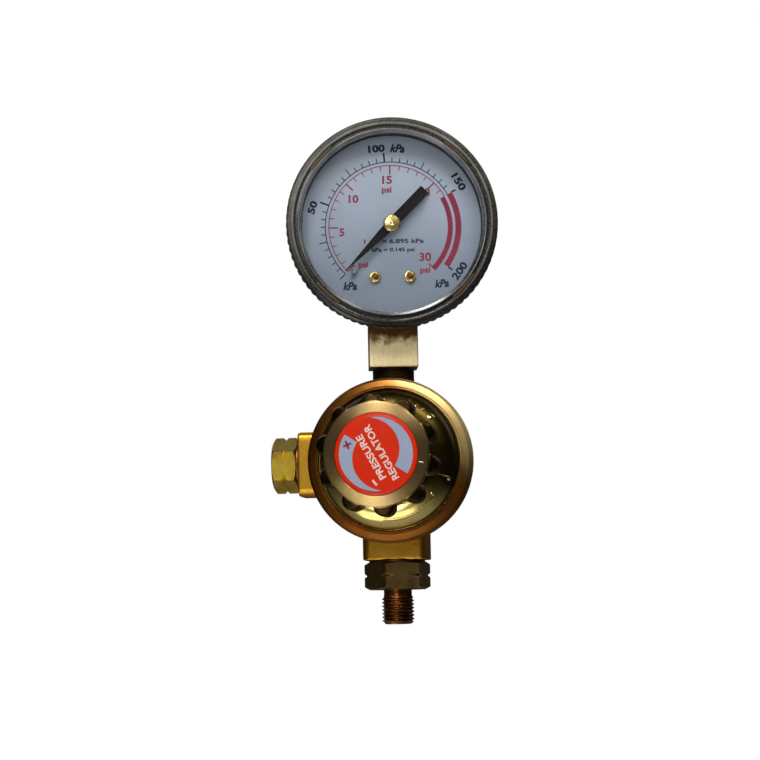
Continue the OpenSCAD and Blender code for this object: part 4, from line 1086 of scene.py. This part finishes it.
def make_floor():
    """Wide pale floor well below the part, which glows for the camera only."""
    reach, drop, glow = 3.0, 0.9, 0.7
    bm = bmesh.new()
    z = cad_low.z - drop
    corners = [bm.verts.new((x * reach, y * reach, z)) for x, y in ((-1, -1), (1, -1), (1, 1), (-1, 1))]
    bm.faces.new(corners)
    mesh = bpy.data.meshes.new("floor")
    bm.to_mesh(mesh)
    bm.free()
    shader = Shader("floor", Roughness=0.9)
    shader.feed("Base Color", shader.mix(shader.noise(0.02, 3), (0.80, 0.79, 0.77), (0.84, 0.83, 0.81)))
    seen = shader.node("ShaderNodeLightPath").outputs["Is Camera Ray"]
    shader.surface.inputs["Emission Color"].default_value = (0.95, 0.95, 0.93, 1)
    shader.feed("Emission Strength", shader.math("MULTIPLY", seen, glow))
    mesh.materials.append(shader.material)
    placed("floor", mesh)


def make_world():
    """White backdrop for the camera; a dim room for light and reflections."""
    world = bpy.data.worlds.new("studio")
    world.use_nodes = True
    nodes, links = world.node_tree.nodes, world.node_tree.links
    nodes.clear()
    path = nodes.new("ShaderNodeLightPath")
    both = nodes.new("ShaderNodeMixShader")
    out = nodes.new("ShaderNodeOutputWorld")
    links.new(path.outputs["Is Camera Ray"], both.inputs[0])
    for i, colour, strength in ((1, (1.0, 0.97, 0.92, 1), 0.03), (2, (1, 1, 1, 1), 1.0)):
        light = nodes.new("ShaderNodeBackground")
        light.inputs["Color"].default_value = colour
        light.inputs["Strength"].default_value = strength
        links.new(light.outputs[0], both.inputs[i])
    links.new(both.outputs[0], out.inputs["Surface"])
    bpy.context.scene.world = world


def make_stage():
    make_camera()
    make_floor()
    make_world()
    softbox("key", -5, 50, 0.9, 0.32, 0.22, 6.3, (1.0, 0.97, 0.93))
    softbox("front", -4, 17, 0.9, 0.2, 0.16, 1.3, (1.0, 0.97, 0.92))
    softbox("rise", -8, -24, 0.9, 0.24, 0.2, 1.5, (1.0, 0.97, 0.92))
    softbox("right", 36, 44, 0.9, 0.14, 0.14, 3.4, (1.0, 0.95, 0.86))
    softbox("low", -18, -55, 0.5, 0.5, 0.25, 0.8, (1.0, 0.95, 0.82))
    softbox("side", 125, 30, 0.9, 0.4, 0.5, 1.0, (0.95, 0.97, 1.0))
    softbox("back", -150, 35, 1.0, 0.6, 0.5, 2.5, (1.0, 0.98, 0.95))
    view = bpy.context.scene.view_settings
    view.view_transform = "Standard"
    view.look = "None"


# ---- CAD nodes that stay as they are ----

def dress_nodes():
    """Gives each CAD node that stays the finish of its material slot."""
    for node in frame["nodes"].values():
        for slot in node.material_slots:
            name = slot.material.name.split(".")[0] if slot.material else ""
            if name in MATERIALS:
                slot.material = MATERIALS[name]


make_stage()
dress_nodes()
ring_piece()
bonnet_piece()
bonnet_marks()
knob_piece()
label_pieces()
forged_pieces()
fitting_pieces()
spring_pieces()
lens_pieces()
dial_prints()
dial_hardware()
